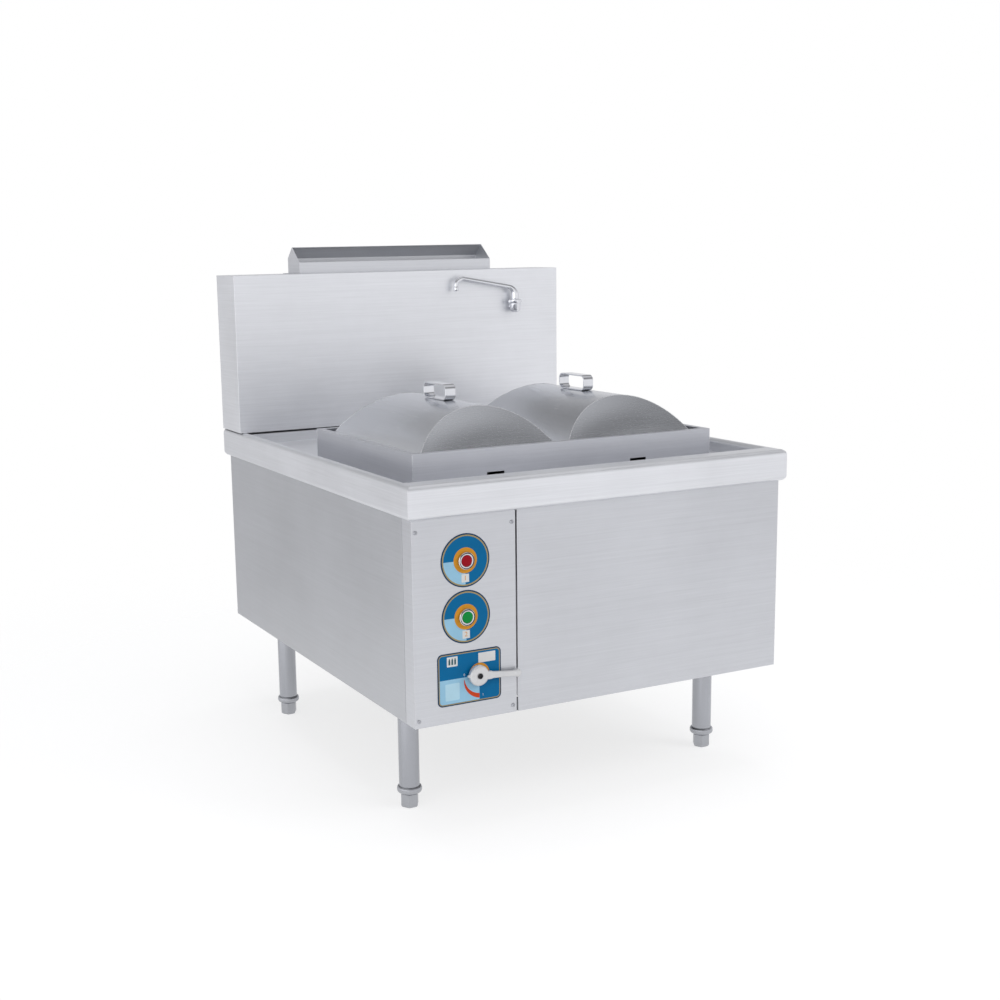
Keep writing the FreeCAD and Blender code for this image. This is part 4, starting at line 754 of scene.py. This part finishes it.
nut = bmesh.new()
turned(nut, at(TAP_X, TAP_BACK, TAP_SHOULDER), (0, 0, 1), [
    (0, NUT_BORE), (0, NUT_RADIUS - 1.2), (1.2, NUT_RADIUS - 0.2), (NUT_HEIGHT - 1.4, NUT_RADIUS - 0.2),
    (NUT_HEIGHT - 0.2, NUT_RADIUS - 2), (NUT_HEIGHT - 0.2, NUT_BORE)], closed=True)
for turn in range(0, 360, 90):
    angle = math.radians(turn)
    out = Vector((math.cos(angle), math.sin(angle), 0))
    across = Vector((-out.y, out.x, 0))
    reach = NUT_LUG if turn % 180 == 0 else NUT_RADIUS + 0.2
    loops = []
    for run, share in ((NUT_RADIUS - 3, 1.0), (reach - 1, 1.0), (reach, 0.7)):
        corners = (out * run + across * a * LUG_HALF * share + Vector((0, 0, b * LUG_RISE * share))
                   for a, b in ((-1, -1), (1, -1), (1, 1), (-1, 1)))
        middle = at(TAP_X, TAP_BACK, TAP_SHOULDER + NUT_HEIGHT / 2)
        loops.append([middle + corner / 1000 for corner in corners])
    skinned(nut, loops)
piece("union_nut", nut, ["faucet_nut"], [chrome], "chrome", crease=40.0)


def spout_shape():
    """Tube swept through both bends, with its stub in the elbow and the nozzle sleeve at the tip."""
    shape = bmesh.new()
    level_off = math.pi / 2 - math.radians(SPOUT_RISE)
    hub = Vector((TAP_X - NECK_BEND, 0, NECK_TOP))
    outward = Vector((math.cos(level_off), 0, math.sin(level_off)))
    arm_start = hub + outward * NECK_BEND
    tip_x = TAP_X - SPOUT_REACH
    run = (arm_start.x - outward.x * TIP_BEND - TIP_BEND - tip_x) / outward.z
    far_hub = arm_start + Vector((-outward.z, 0, outward.x)) * run - outward * TIP_BEND
    sections = [(Vector((TAP_X, 0, NECK_LOW + rise)), 0, NECK_RADIUS - 0.8 + rise) for rise in (0, 0.8)]
    for k in range(BEND_STEPS + 1):
        share = k / BEND_STEPS
        eased = share * share * (3 - 2 * share)
        turn = level_off * share
        place = hub + Vector((math.cos(turn), 0, math.sin(turn))) * NECK_BEND
        sections.append((place, turn, NECK_RADIUS + (PIPE_RADIUS - NECK_RADIUS) * eased))
    for k in range(BEND_STEPS + 1):
        turn = level_off + (math.pi - level_off) * k / BEND_STEPS
        sections.append((far_hub + Vector((math.cos(turn), 0, math.sin(turn))) * TIP_BEND, turn, PIPE_RADIUS))
    sections.append((Vector((tip_x, 0, NOZZLE_LOW + 4)), math.pi, PIPE_RADIUS))
    loops = []
    for place, turn, radius in sections:
        out = Vector((math.cos(turn), 0, math.sin(turn)))
        loop = []
        for k in range(PIPE_SIDES):
            spin = 2 * math.pi * k / PIPE_SIDES
            spot = place + out * (radius * math.cos(spin))
            loop.append(at(spot.x, TAP_BACK + radius * math.sin(spin), spot.z))
        loops.append(loop)
    skinned(shape, loops)
    turned(shape, at(TAP_X, TAP_BACK, 0), (0, 0, 1), [
        (STUB_LOW, 0), (STUB_LOW, STUB_RADIUS), (NECK_LOW + 0.4, STUB_RADIUS), (NECK_LOW + 0.4, 0)],
           sides=PIPE_SIDES)
    turned(shape, at(tip_x, TAP_BACK, 0), (0, 0, 1), [
        (NOZZLE_LOW + 3, 0), (NOZZLE_LOW + 3, 5), (NOZZLE_LOW, 5), (NOZZLE_LOW, NOZZLE_RADIUS - 0.6),
        (NOZZLE_LOW + 0.6, NOZZLE_RADIUS), (far_hub.z - 3, NOZZLE_RADIUS), (far_hub.z - 1.5, PIPE_RADIUS),
        (far_hub.z - 1.5, 0)], sides=PIPE_SIDES)
    return shape


piece("swing_spout", spout_shape(), ["faucet_spout"], [chrome], "chrome", crease=45.0)

# Push buttons: a printed film disc on the panel, a plated bezel with its contact block behind, and a
# moulded cap that slides in the bezel on a square plunger. The upper one is red, the lower one green.
DIAL_X = -360.5
BUTTONS = {"power": 612, "ignition": 487.5}
DISC_RADIUS, FILM_THICK, FILM_FACE, INK_RISE = 59, 0.8, 12.2, 0.04
BEZEL_RADIUS, BEZEL_RISE, CUP_RADIUS, CUP_DEPTH, BARREL_HALF, WELL_RADIUS = 19, 8, 12.65, 7, 11, 6.05 * 1.42
CONTACT_HALF, PANEL_BACK, CONTACT_BACK, DARK_BANDS = 20, 14.5, 78, (2, 3, 7, 8, 9)
CAP_RADIUS, CAP_FRONT, CAP_THICK, PLUNGER_HALF, PLUNGER_END = 12.5, 2.7, 4.3, 6, 44
NAVY, TAN, BLUE, PALE, ORANGE, WHITE, CRESCENT_RED, PALE_PLATE, INK = range(9)
FILM_COLOURS = (
    ("film_navy", (0.006, 0.045, 0.11, 1.0)), ("film_tan", (0.42, 0.33, 0.16, 1.0)),
    ("film_blue", (0.0, 0.15, 0.36, 1.0)), ("film_pale_blue", (0.36, 0.64, 0.84, 1.0)),
    ("film_orange", (0.76, 0.33, 0.03, 1.0)), ("film_white", (0.80, 0.80, 0.79, 1.0)),
    ("film_red", (0.68, 0.07, 0.02, 1.0)), ("film_pale_plate", (0.52, 0.78, 0.92, 1.0)),
    ("film_ink", (0.03, 0.10, 0.13, 1.0)),
)
films = [finish_material(name, colour, 0.0, 0.3, 0.42, patch=20.0, spread=0.04, gleam=0.15)
         for name, colour in FILM_COLOURS]
cap_red = finish_material("cap_red", (0.36, 0.003, 0.012, 1.0), 0.0, 0.2, 0.3, gleam=0.15)
cap_green = finish_material("cap_green", (0.003, 0.28, 0.05, 1.0), 0.0, 0.2, 0.3, gleam=0.15)
bezel_metal = finish_material("bezel_metal", (0.66, 0.67, 0.70, 1.0), 1.0, 0.14, 0.24, patch=40.0)


def numeral(shape, text, x, z, height, face, slot):
    """Raised printed figure on a label, from the plain built-in type."""
    curve = bpy.data.curves.new("figure", "FONT")
    curve.body = text
    curve.size = height / 1000
    curve.align_x = "CENTER"
    curve.align_y = "CENTER"
    curve.extrude = INK_RISE / 1000
    mesh = plain_mesh(shown("figure", curve))
    mesh.transform(Matrix.Translation(at(x, face, z)) @ Matrix.Rotation(math.pi / 2, 4, "X"))
    count = len(shape.faces)
    shape.from_mesh(mesh)
    shape.faces.ensure_lookup_table()
    for face_index in range(count, len(shape.faces)):
        shape.faces[face_index].material_index = slot
    bpy.data.meshes.remove(mesh)


def disc_label(level, figure):
    """Round film with a navy border, a tan line and a pale lower left quarter round an orange ring."""
    shape = bmesh.new()
    bands = (ORANGE, BLUE, TAN, NAVY, NAVY, NAVY, NAVY, NAVY)

    def paint(band, middle):
        quarter = middle.x < at(DIAL_X, 0, 0).x and middle.z < at(0, 0, level).z
        return PALE if bands[band] == BLUE and quarter else bands[band]

    turned(shape, at(DIAL_X, FILM_FACE, level), (0, 1, 0), [
        (0, BARREL_HALF + 3), (0, 28.3), (0, 53), (0, 56), (0, DISC_RADIUS - 0.3), (0.3, DISC_RADIUS),
        (FILM_THICK, DISC_RADIUS), (FILM_THICK, BARREL_HALF + 3)], sides=96, closed=True, paint=paint)
    slab(shape, at(DIAL_X - 9.5, FILM_FACE - 0.12, level - 48), at(DIAL_X + 8.5, FILM_FACE + 0.1, level - 30),
         WHITE)
    numeral(shape, figure, DIAL_X - 0.5, level - 39, 15, FILM_FACE - 0.15, ORANGE)
    return shape


def bezel_shape(level):
    """Plated ring with a dark groove round its dished middle; the contact block is behind the panel."""
    shape = bmesh.new()
    front = FILM_FACE - BEZEL_RISE

    def paint(band, middle):
        return int(band in DARK_BANDS)

    turned(shape, at(DIAL_X, front, level), (0, 1, 0), [
        (BEZEL_RISE, BEZEL_RADIUS), (1.2, BEZEL_RADIUS), (0.2, BEZEL_RADIUS - 1.2), (1.4, BEZEL_RADIUS - 2.2),
        (0.4, BEZEL_RADIUS - 3.0), (0.0, BEZEL_RADIUS - 4.4), (0.4, CUP_RADIUS + 0.5), (1.0, CUP_RADIUS),
        (CUP_DEPTH, CUP_RADIUS), (CUP_DEPTH, WELL_RADIUS), (BEZEL_RISE, WELL_RADIUS)],
           closed=True, paint=paint)
    for near, far, half in ((FILM_FACE, PANEL_BACK, BARREL_HALF), (PANEL_BACK, CONTACT_BACK, CONTACT_HALF)):
        slab(shape, at(DIAL_X - half, near, level - half), at(DIAL_X + half, far, level + half), 1)
    return shape


def cap_shape(level):
    """Domed cap with a square plunger."""
    shape = bmesh.new()
    turned(shape, at(DIAL_X, CAP_FRONT, level), (0, 1, 0), [
        (0, 0), (0.05, 4), (0.25, 7.5), (0.7, 10.4), (1.3, 11.9), (2.1, CAP_RADIUS), (CAP_THICK, CAP_RADIUS),
        (CAP_THICK, 0)])
    half = PLUNGER_HALF
    slab(shape, at(DIAL_X - half, CAP_FRONT + CAP_THICK, level - half),
         at(DIAL_X + half, PLUNGER_END, level + half))
    return shape


for kind, figure, cap_finish, cap_slot in (
        ("power", "1", cap_red, "red_cap"), ("ignition", "2", cap_green, "green_cap")):
    level = BUTTONS[kind]
    piece(f"{kind}_film_disc", disc_label(level, figure), [f"{kind}_label"], films, "blue_film", crease=20.0)
    piece(f"{kind}_bezel_ring", bezel_shape(level), [f"{kind}_bezel"], [bezel_metal, black_plastic], "chrome",
          crease=40.0)
    piece(f"{kind}_cap_moulding", cap_shape(level), [f"{kind}_button"], [cap_finish], cap_slot, crease=50.0)

# Lever valve: a plated casting turns on the valve stem over a printed film plate.
# The hub, the tapering handle and the pointer are one casting, held by a dark recessed screw.
VALVE_X, VALVE_LEVEL, LEVER_DROOP = -336.5, 355, 5
PLATE_LEFT, PLATE_RIGHT, PLATE_LOW, PLATE_HIGH, PLATE_ROUND = -432, -276, 293, 411, 12
RING_X, RING_LEVEL, SCALE_RING, PALE_INSET, PALE_ROUND, FILM_SINK = -330.2, 355.4, 25, 5, 7, 0.1
CRESCENT_STEPS, CRESCENT_START, CRESCENT_SWEEP = 24, 192, 78
HUB_RADIUS, HUB_FRONT, HUB_BACK, HANDLE_POWER = 23, -5, 7, 0.55
lever_plate = finish_material("lever_plate", (0.70, 0.70, 0.71, 1.0), 0.35, 0.25, 0.36, patch=25.0, coat=0.3)
screw_black = finish_material("screw_black", (0.03, 0.03, 0.035, 1.0), 0.8, 0.35, 0.5)


def rounded_outline(left, low, right, high, radius, face, steps=8):
    """Upright rectangle with round corners, as a loop of places."""
    points = []
    for x, z, start in ((right, high, 0), (left, high, 90), (left, low, 180), (right, low, 270)):
        hub_x = x - math.copysign(radius, x - (left + right) / 2)
        hub_z = z - math.copysign(radius, z - (low + high) / 2)
        for k in range(steps + 1):
            turn = math.radians(start + 90 * k / steps)
            points.append(at(hub_x + radius * math.cos(turn), face, hub_z + radius * math.sin(turn)))
    return points


def plate_label():
    """Film plate: navy border, tan line, blue field, pale lower left area, ring, crescent and bare plates."""
    shape = bmesh.new()
    rings = []
    for inset, rise in ((0.0, FILM_THICK), (0.0, 0.2), (0.2, 0), (2.6, 0), (4.6, 0)):
        loop = rounded_outline(PLATE_LEFT + inset, PLATE_LOW + inset, PLATE_RIGHT - inset, PLATE_HIGH - inset,
                               PLATE_ROUND - inset, FILM_FACE + rise)
        rings.append([shape.verts.new(place) for place in loop])
    for band, (outer, inner) in enumerate(zip(rings, rings[1:])):
        for k in range(len(outer)):
            n = (k + 1) % len(outer)
            face = shape.faces.new((outer[k], outer[n], inner[n], inner[k]))
            face.material_index = TAN if band == 3 else NAVY
    shape.faces.new(rings[-1]).material_index = BLUE
    shape.faces.new(rings[0]).material_index = NAVY
    left, low, top = PLATE_LEFT + PALE_INSET, PLATE_LOW + PALE_INSET, RING_LEVEL - 3
    pale = [(RING_X, top), (left, top)]
    for k in range(9):
        turn = math.radians(90 * k / 8)
        pale.append((left + PALE_ROUND * (1 - math.cos(turn)), low + PALE_ROUND * (1 - math.sin(turn))))
    pale.append((RING_X, low))
    skinned(shape, [[at(x, y, z) for x, z in pale] for y in (FILM_FACE - 0.06, FILM_FACE + FILM_SINK)],
            slot=PALE)
    turned(shape, at(RING_X, FILM_FACE - 0.14, RING_LEVEL), (0, 1, 0), [
        (0, SCALE_RING - 12), (0, SCALE_RING), (0.3, SCALE_RING), (0.3, SCALE_RING - 12)], closed=True,
           paint=lambda band, middle: ORANGE)
    shares = [k / CRESCENT_STEPS for k in range(CRESCENT_STEPS + 1)]
    crescent = [(37.4 + 17.0 * share ** 0.8, share) for share in shares]
    crescent += [(37.0 + 6.6 * share, share) for share in shares[::-1]]
    crescent = [(radius, math.radians(CRESCENT_START + CRESCENT_SWEEP * share)) for radius, share in crescent]
    skinned(shape, [[at(RING_X + r * math.cos(t), y, RING_LEVEL + r * math.sin(t)) for r, t in crescent]
                    for y in (FILM_FACE - 0.13, FILM_FACE + FILM_SINK)], slot=CRESCENT_RED)
    for left, low, right, high, radius, slot in (
            (-409, 381, -383, 403, 1.2, WHITE), (-332, 380.5, -290, 402.5, 1.2, WHITE),
            (-413.7, 305, -379, 343, 2.5, PALE_PLATE)):
        skinned(shape, [rounded_outline(left, low, right, high, radius, y, steps=3)
                        for y in (FILM_FACE - 0.12, FILM_FACE + FILM_SINK)], slot=slot)
    for x in (-403, -396, -389):
        for half, low, high in ((2.1, 385, 396), (1.2, 396, 399)):
            slab(shape, at(x - half, FILM_FACE - 0.16, low), at(x + half, FILM_FACE, high), INK)
    numeral(shape, "0", -367, 358, 8, FILM_FACE - 0.05, WHITE)
    numeral(shape, "1", -321.5, 307, 8, FILM_FACE - 0.05, WHITE)
    return shape


def lever_shape():
    """Casting built about the stem, then drooped a few degrees."""
    shape = bmesh.new()
    origin = Vector()

    def spot(x, y, z):
        return Vector((x, y, z)) / 1000

    turned(shape, origin, (0, 1, 0), [
        (HUB_FRONT + 0.6, 0), (HUB_FRONT + 0.5, 5.5), (HUB_FRONT + 0.1, 6.5), (HUB_FRONT, 15),
        (HUB_FRONT + 0.8, 19.5), (HUB_FRONT + 2.6, 22.2), (HUB_FRONT + 4.5, HUB_RADIUS),
        (HUB_BACK - 0.6, HUB_RADIUS), (HUB_BACK, HUB_RADIUS - 0.6), (HUB_BACK, 0)])
    loops = []
    for x, half, front, back in (
            (12, 10, -3.2, 5.8), (20, 10, -3.0, 5.8), (30, 9.4, -2.8, 5.8), (34, 7.8, -2.2, 5.4),
            (60, 7.0, -2.0, 5.2), (92, 6.4, -2.0, 5.2), (97, 6.2, -2.2, 5.4)):
        middle = (front + back) / 2
        deep = (back - front) / 2
        loop = []
        for k in range(20):
            turn = 2 * math.pi * k / 20
            across, out = (math.copysign(abs(share) ** HANDLE_POWER, share)
                           for share in (math.cos(turn), math.sin(turn)))
            loop.append(spot(x, middle + out * deep, across * half))
        loops.append(loop)
    skinned(shape, loops)
    turned(shape, spot(96.5, 0, 0), (0, 1, 0), [
        (-3.6, 0), (-3.5, 4), (-2.8, 7), (-1.2, 8.7), (0.4, 9), (4.6, 9), (6.0, 7.6), (6.8, 4), (6.9, 0)],
           sides=40)
    pointer = [spot(x, 0, z) for x, z in (
        (-12, -9), (-12, 9), (-26.5, 2.8), (-29, 1.2), (-29.4, 0), (-29, -1.2), (-26.5, -2.8))]
    skinned(shape, [[Vector((p.x * share, y / 1000, p.z * share)) for p in pointer]
                    for y, share in ((2.9, 0.97), (2.2, 1.0), (-2.0, 1.0), (-2.9, 0.95))])
    droop = Matrix.Rotation(math.radians(LEVER_DROOP), 4, "Y")
    stem = Matrix.Translation(at(VALVE_X, 0, VALVE_LEVEL))
    bmesh.ops.transform(shape, matrix=stem @ droop, verts=shape.verts)
    return shape


piece("valve_film_plate", plate_label(), ["valve_label"], films, "blue_film", crease=20.0)
piece("lever_casting", lever_shape(), ["valve_lever"], [lever_plate], "lever_metal", crease=38.0)
screw = bmesh.new()
turned(screw, at(VALVE_X, -8, VALVE_LEVEL), (0, 1, 0), [
    (1.9, 0), (1.9, 2.6), (0.5, 2.9), (0.1, 3.4), (0.4, 5.2), (1.2, 5.9), (3.4, 5.9), (3.4, 0)], sides=48)
piece("lever_screw_head", screw, ["lever_screw"], [screw_black], "turned_steel", crease=40.0)

# Studio: a pale floor that keeps the stove's soft shadow, a white surround and three soft lamps.
# The camera stands to the front left, a little above the worktop.
CAMERA_PLACE = Vector((-1.75625, -3.25824, 1.27272))
CAMERA_AZIMUTH = math.radians(-26.63)
CAMERA_ELEVATION = math.radians(10.60)
CAMERA_ROLL = math.radians(-1.05)
CAMERA_LENS, CAMERA_SENSOR, SHIFT_X, SHIFT_Y = 51.82, 36.0, 0.060, 0.016
FLOOR_REACH, FADE_START, FADE_END, FLOOR_GLOW = 6.0, 0.6, 2.6, 0.74
FLOOR_PALE, FLOOR_DARK = (0.80, 0.80, 0.80, 1.0), (0.34, 0.34, 0.345, 1.0)
WALL_SIDE, SOFTBOX_SIDE = (0.45, -0.89, 0.0), (-0.98, -0.20, 0.0)
OVERHEAD = ((0.0, 0.92), (0.12, 1.0), (0.30, 0.78), (0.48, 0.50), (0.60, 0.20), (0.70, 0.30), (0.84, 0.70),
            (1.0, 0.85))
LAMPS = {
    "key": ((2.6, -3.4, 3.2), (0.1, 0.0, 0.6), 2.4, 60.0),
    "fill": ((-3.2, -2.6, 2.4), (0.0, 0.0, 0.6), 2.4, 22.0),
    "top": ((0.0, 0.2, 4.0), (0.0, 0.0, 0.6), 2.6, 36.0),
}


def make_floor():
    """Round floor that fades out, glows for the camera and in reflections, and is clear from below."""
    mesh = bpy.data.meshes.new("floor")
    sheet = bmesh.new()
    bmesh.ops.create_circle(sheet, cap_ends=True, radius=FLOOR_REACH, segments=96)
    sheet.to_mesh(mesh)
    sheet.free()
    floor = shown("floor", mesh)
    material = bpy.data.materials.new("floor_white")
    material.use_nodes = True
    tree = material.node_tree
    shader = tree.nodes["Principled BSDF"]
    fill(shader, {"Roughness": 0.9, "Specular IOR Level": 0.0, "Emission Color": (1.0, 1.0, 1.0, 1.0)})
    path = add_node(tree, "ShaderNodeLightPath")
    tone = add_node(tree, "ShaderNodeMix", {6: FLOOR_PALE, 7: FLOOR_DARK}, data_type="RGBA")
    place = add_node(tree, "ShaderNodeTexCoord")
    length = add_node(tree, "ShaderNodeVectorMath", operation="LENGTH")
    fade = add_node(tree, "ShaderNodeMapRange", {"From Min": FADE_START, "From Max": FADE_END},
                    interpolation_type="SMOOTHSTEP")
    seen = maths(tree, "MAXIMUM")
    also = maths(tree, "MAXIMUM")
    glow = maths(tree, "MULTIPLY", {1: FLOOR_GLOW})
    sides = add_node(tree, "ShaderNodeNewGeometry")
    unseen = maths(tree, "MAXIMUM")
    clear = add_node(tree, "ShaderNodeBsdfTransparent")
    mix = add_node(tree, "ShaderNodeMixShader")
    output = tree.nodes["Material Output"]
    wire(tree, (also, "Value", tone, 0), (tone, 2, shader, "Base Color"), (path, "Is Camera Ray", seen, 0),
         (path, "Is Glossy Ray", seen, 1), (seen, "Value", also, 0), (path, "Is Transmission Ray", also, 1),
         (also, "Value", glow, 0), (glow, "Value", shader, "Emission Strength"), (place, "Object", length, 0),
         (length, "Value", fade, "Value"), (fade, "Result", unseen, 0), (sides, "Backfacing", unseen, 1),
         (unseen, "Value", mix, 0), (shader, "BSDF", mix, 1), (clear, "BSDF", mix, 2),
         (mix, "Shader", output, "Surface"))
    mesh.materials.append(material)


def make_world():
    """White surround for the view and for reflections near the horizon, dimmer overhead."""
    world = bpy.data.worlds.new("studio")
    bpy.context.scene.world = world
    world.use_nodes = True
    tree = world.node_tree
    tree.nodes.clear()
    output = add_node(tree, "ShaderNodeOutputWorld")
    path = add_node(tree, "ShaderNodeLightPath")
    place = add_node(tree, "ShaderNodeTexCoord")
    split = add_node(tree, "ShaderNodeSeparateXYZ")
    ramp = add_node(tree, "ShaderNodeValToRGB")
    while len(ramp.color_ramp.elements) < len(OVERHEAD):
        ramp.color_ramp.elements.new(0.5)
    for element, (position, shade) in zip(ramp.color_ramp.elements, OVERHEAD):
        element.position = position
        element.color = (shade, shade, shade * 1.02, 1.0)
    toward = add_node(tree, "ShaderNodeVectorMath", {1: WALL_SIDE}, operation="DOT_PRODUCT")
    side = add_node(tree, "ShaderNodeMapRange", {"From Min": -1.0, "To Min": 0.74, "To Max": 1.05})
    aside = add_node(tree, "ShaderNodeVectorMath", {1: SOFTBOX_SIDE}, operation="DOT_PRODUCT")
    softbox = add_node(tree, "ShaderNodeMapRange", {"From Min": 0.45, "From Max": 0.92, "To Max": 0.9},
                       interpolation_type="SMOOTHSTEP")
    total = maths(tree, "ADD")
    plain = add_node(tree, "ShaderNodeBackground", {"Color": (1.0, 1.0, 1.0, 1.0)})
    soft = add_node(tree, "ShaderNodeBackground")
    dim = add_node(tree, "ShaderNodeBackground", {"Color": (0.97, 0.98, 1.0, 1.0), "Strength": 0.55})
    shiny = maths(tree, "MAXIMUM")
    first = add_node(tree, "ShaderNodeMixShader")
    second = add_node(tree, "ShaderNodeMixShader")
    wire(tree, (place, "Generated", split, "Vector"), (split, "Z", ramp, "Fac"),
         (ramp, "Color", soft, "Color"), (place, "Generated", toward, 0), (toward, "Value", side, "Value"),
         (place, "Generated", aside, 0), (aside, "Value", softbox, "Value"), (side, "Result", total, 0),
         (softbox, "Result", total, 1), (total, "Value", soft, "Strength"),
         (path, "Is Glossy Ray", shiny, 0), (path, "Is Transmission Ray", shiny, 1),
         (shiny, "Value", first, 0), (dim, "Background", first, 1), (soft, "Background", first, 2),
         (path, "Is Camera Ray", second, 0), (first, "Shader", second, 1), (plain, "Background", second, 2),
         (second, "Shader", output, "Surface"))


def make_lamp(name, place, target, width, power):
    """Square soft lamp turned toward a target; it shows in no reflection."""
    data = bpy.data.lights.new(name, "AREA")
    data.shape = "RECTANGLE"
    data.size = data.size_y = width
    data.energy = power
    lamp = shown(name, data)
    lamp.visible_glossy = False
    lamp.location = place
    lamp.rotation_euler = (Vector(target) - Vector(place)).to_track_quat("-Z", "Y").to_euler()


def make_camera():
    """Camera in the place that was solved from the photo."""
    data = bpy.data.cameras.new("camera")
    camera = shown("camera", data)
    data.sensor_width = CAMERA_SENSOR
    data.lens = CAMERA_LENS
    data.shift_x, data.shift_y = SHIFT_X, SHIFT_Y
    data.clip_end = 50.0
    flat = math.cos(CAMERA_ELEVATION)
    back = Vector((math.sin(CAMERA_AZIMUTH) * flat, -math.cos(CAMERA_AZIMUTH) * flat,
                   math.sin(CAMERA_ELEVATION)))
    right = Vector((0, 0, 1)).cross(back).normalized()
    up = back.cross(right)
    across = right * math.cos(CAMERA_ROLL) + up * math.sin(CAMERA_ROLL)
    over = up * math.cos(CAMERA_ROLL) - right * math.sin(CAMERA_ROLL)
    turn = Matrix((across, over, back)).transposed()
    camera.matrix_world = Matrix.Translation(CAMERA_PLACE) @ turn.to_4x4()
    bpy.context.scene.camera = camera


make_floor()
make_world()
for name, values in LAMPS.items():
    make_lamp(name, *values)
make_camera()
bpy.context.scene.view_settings.view_transform = "Standard"
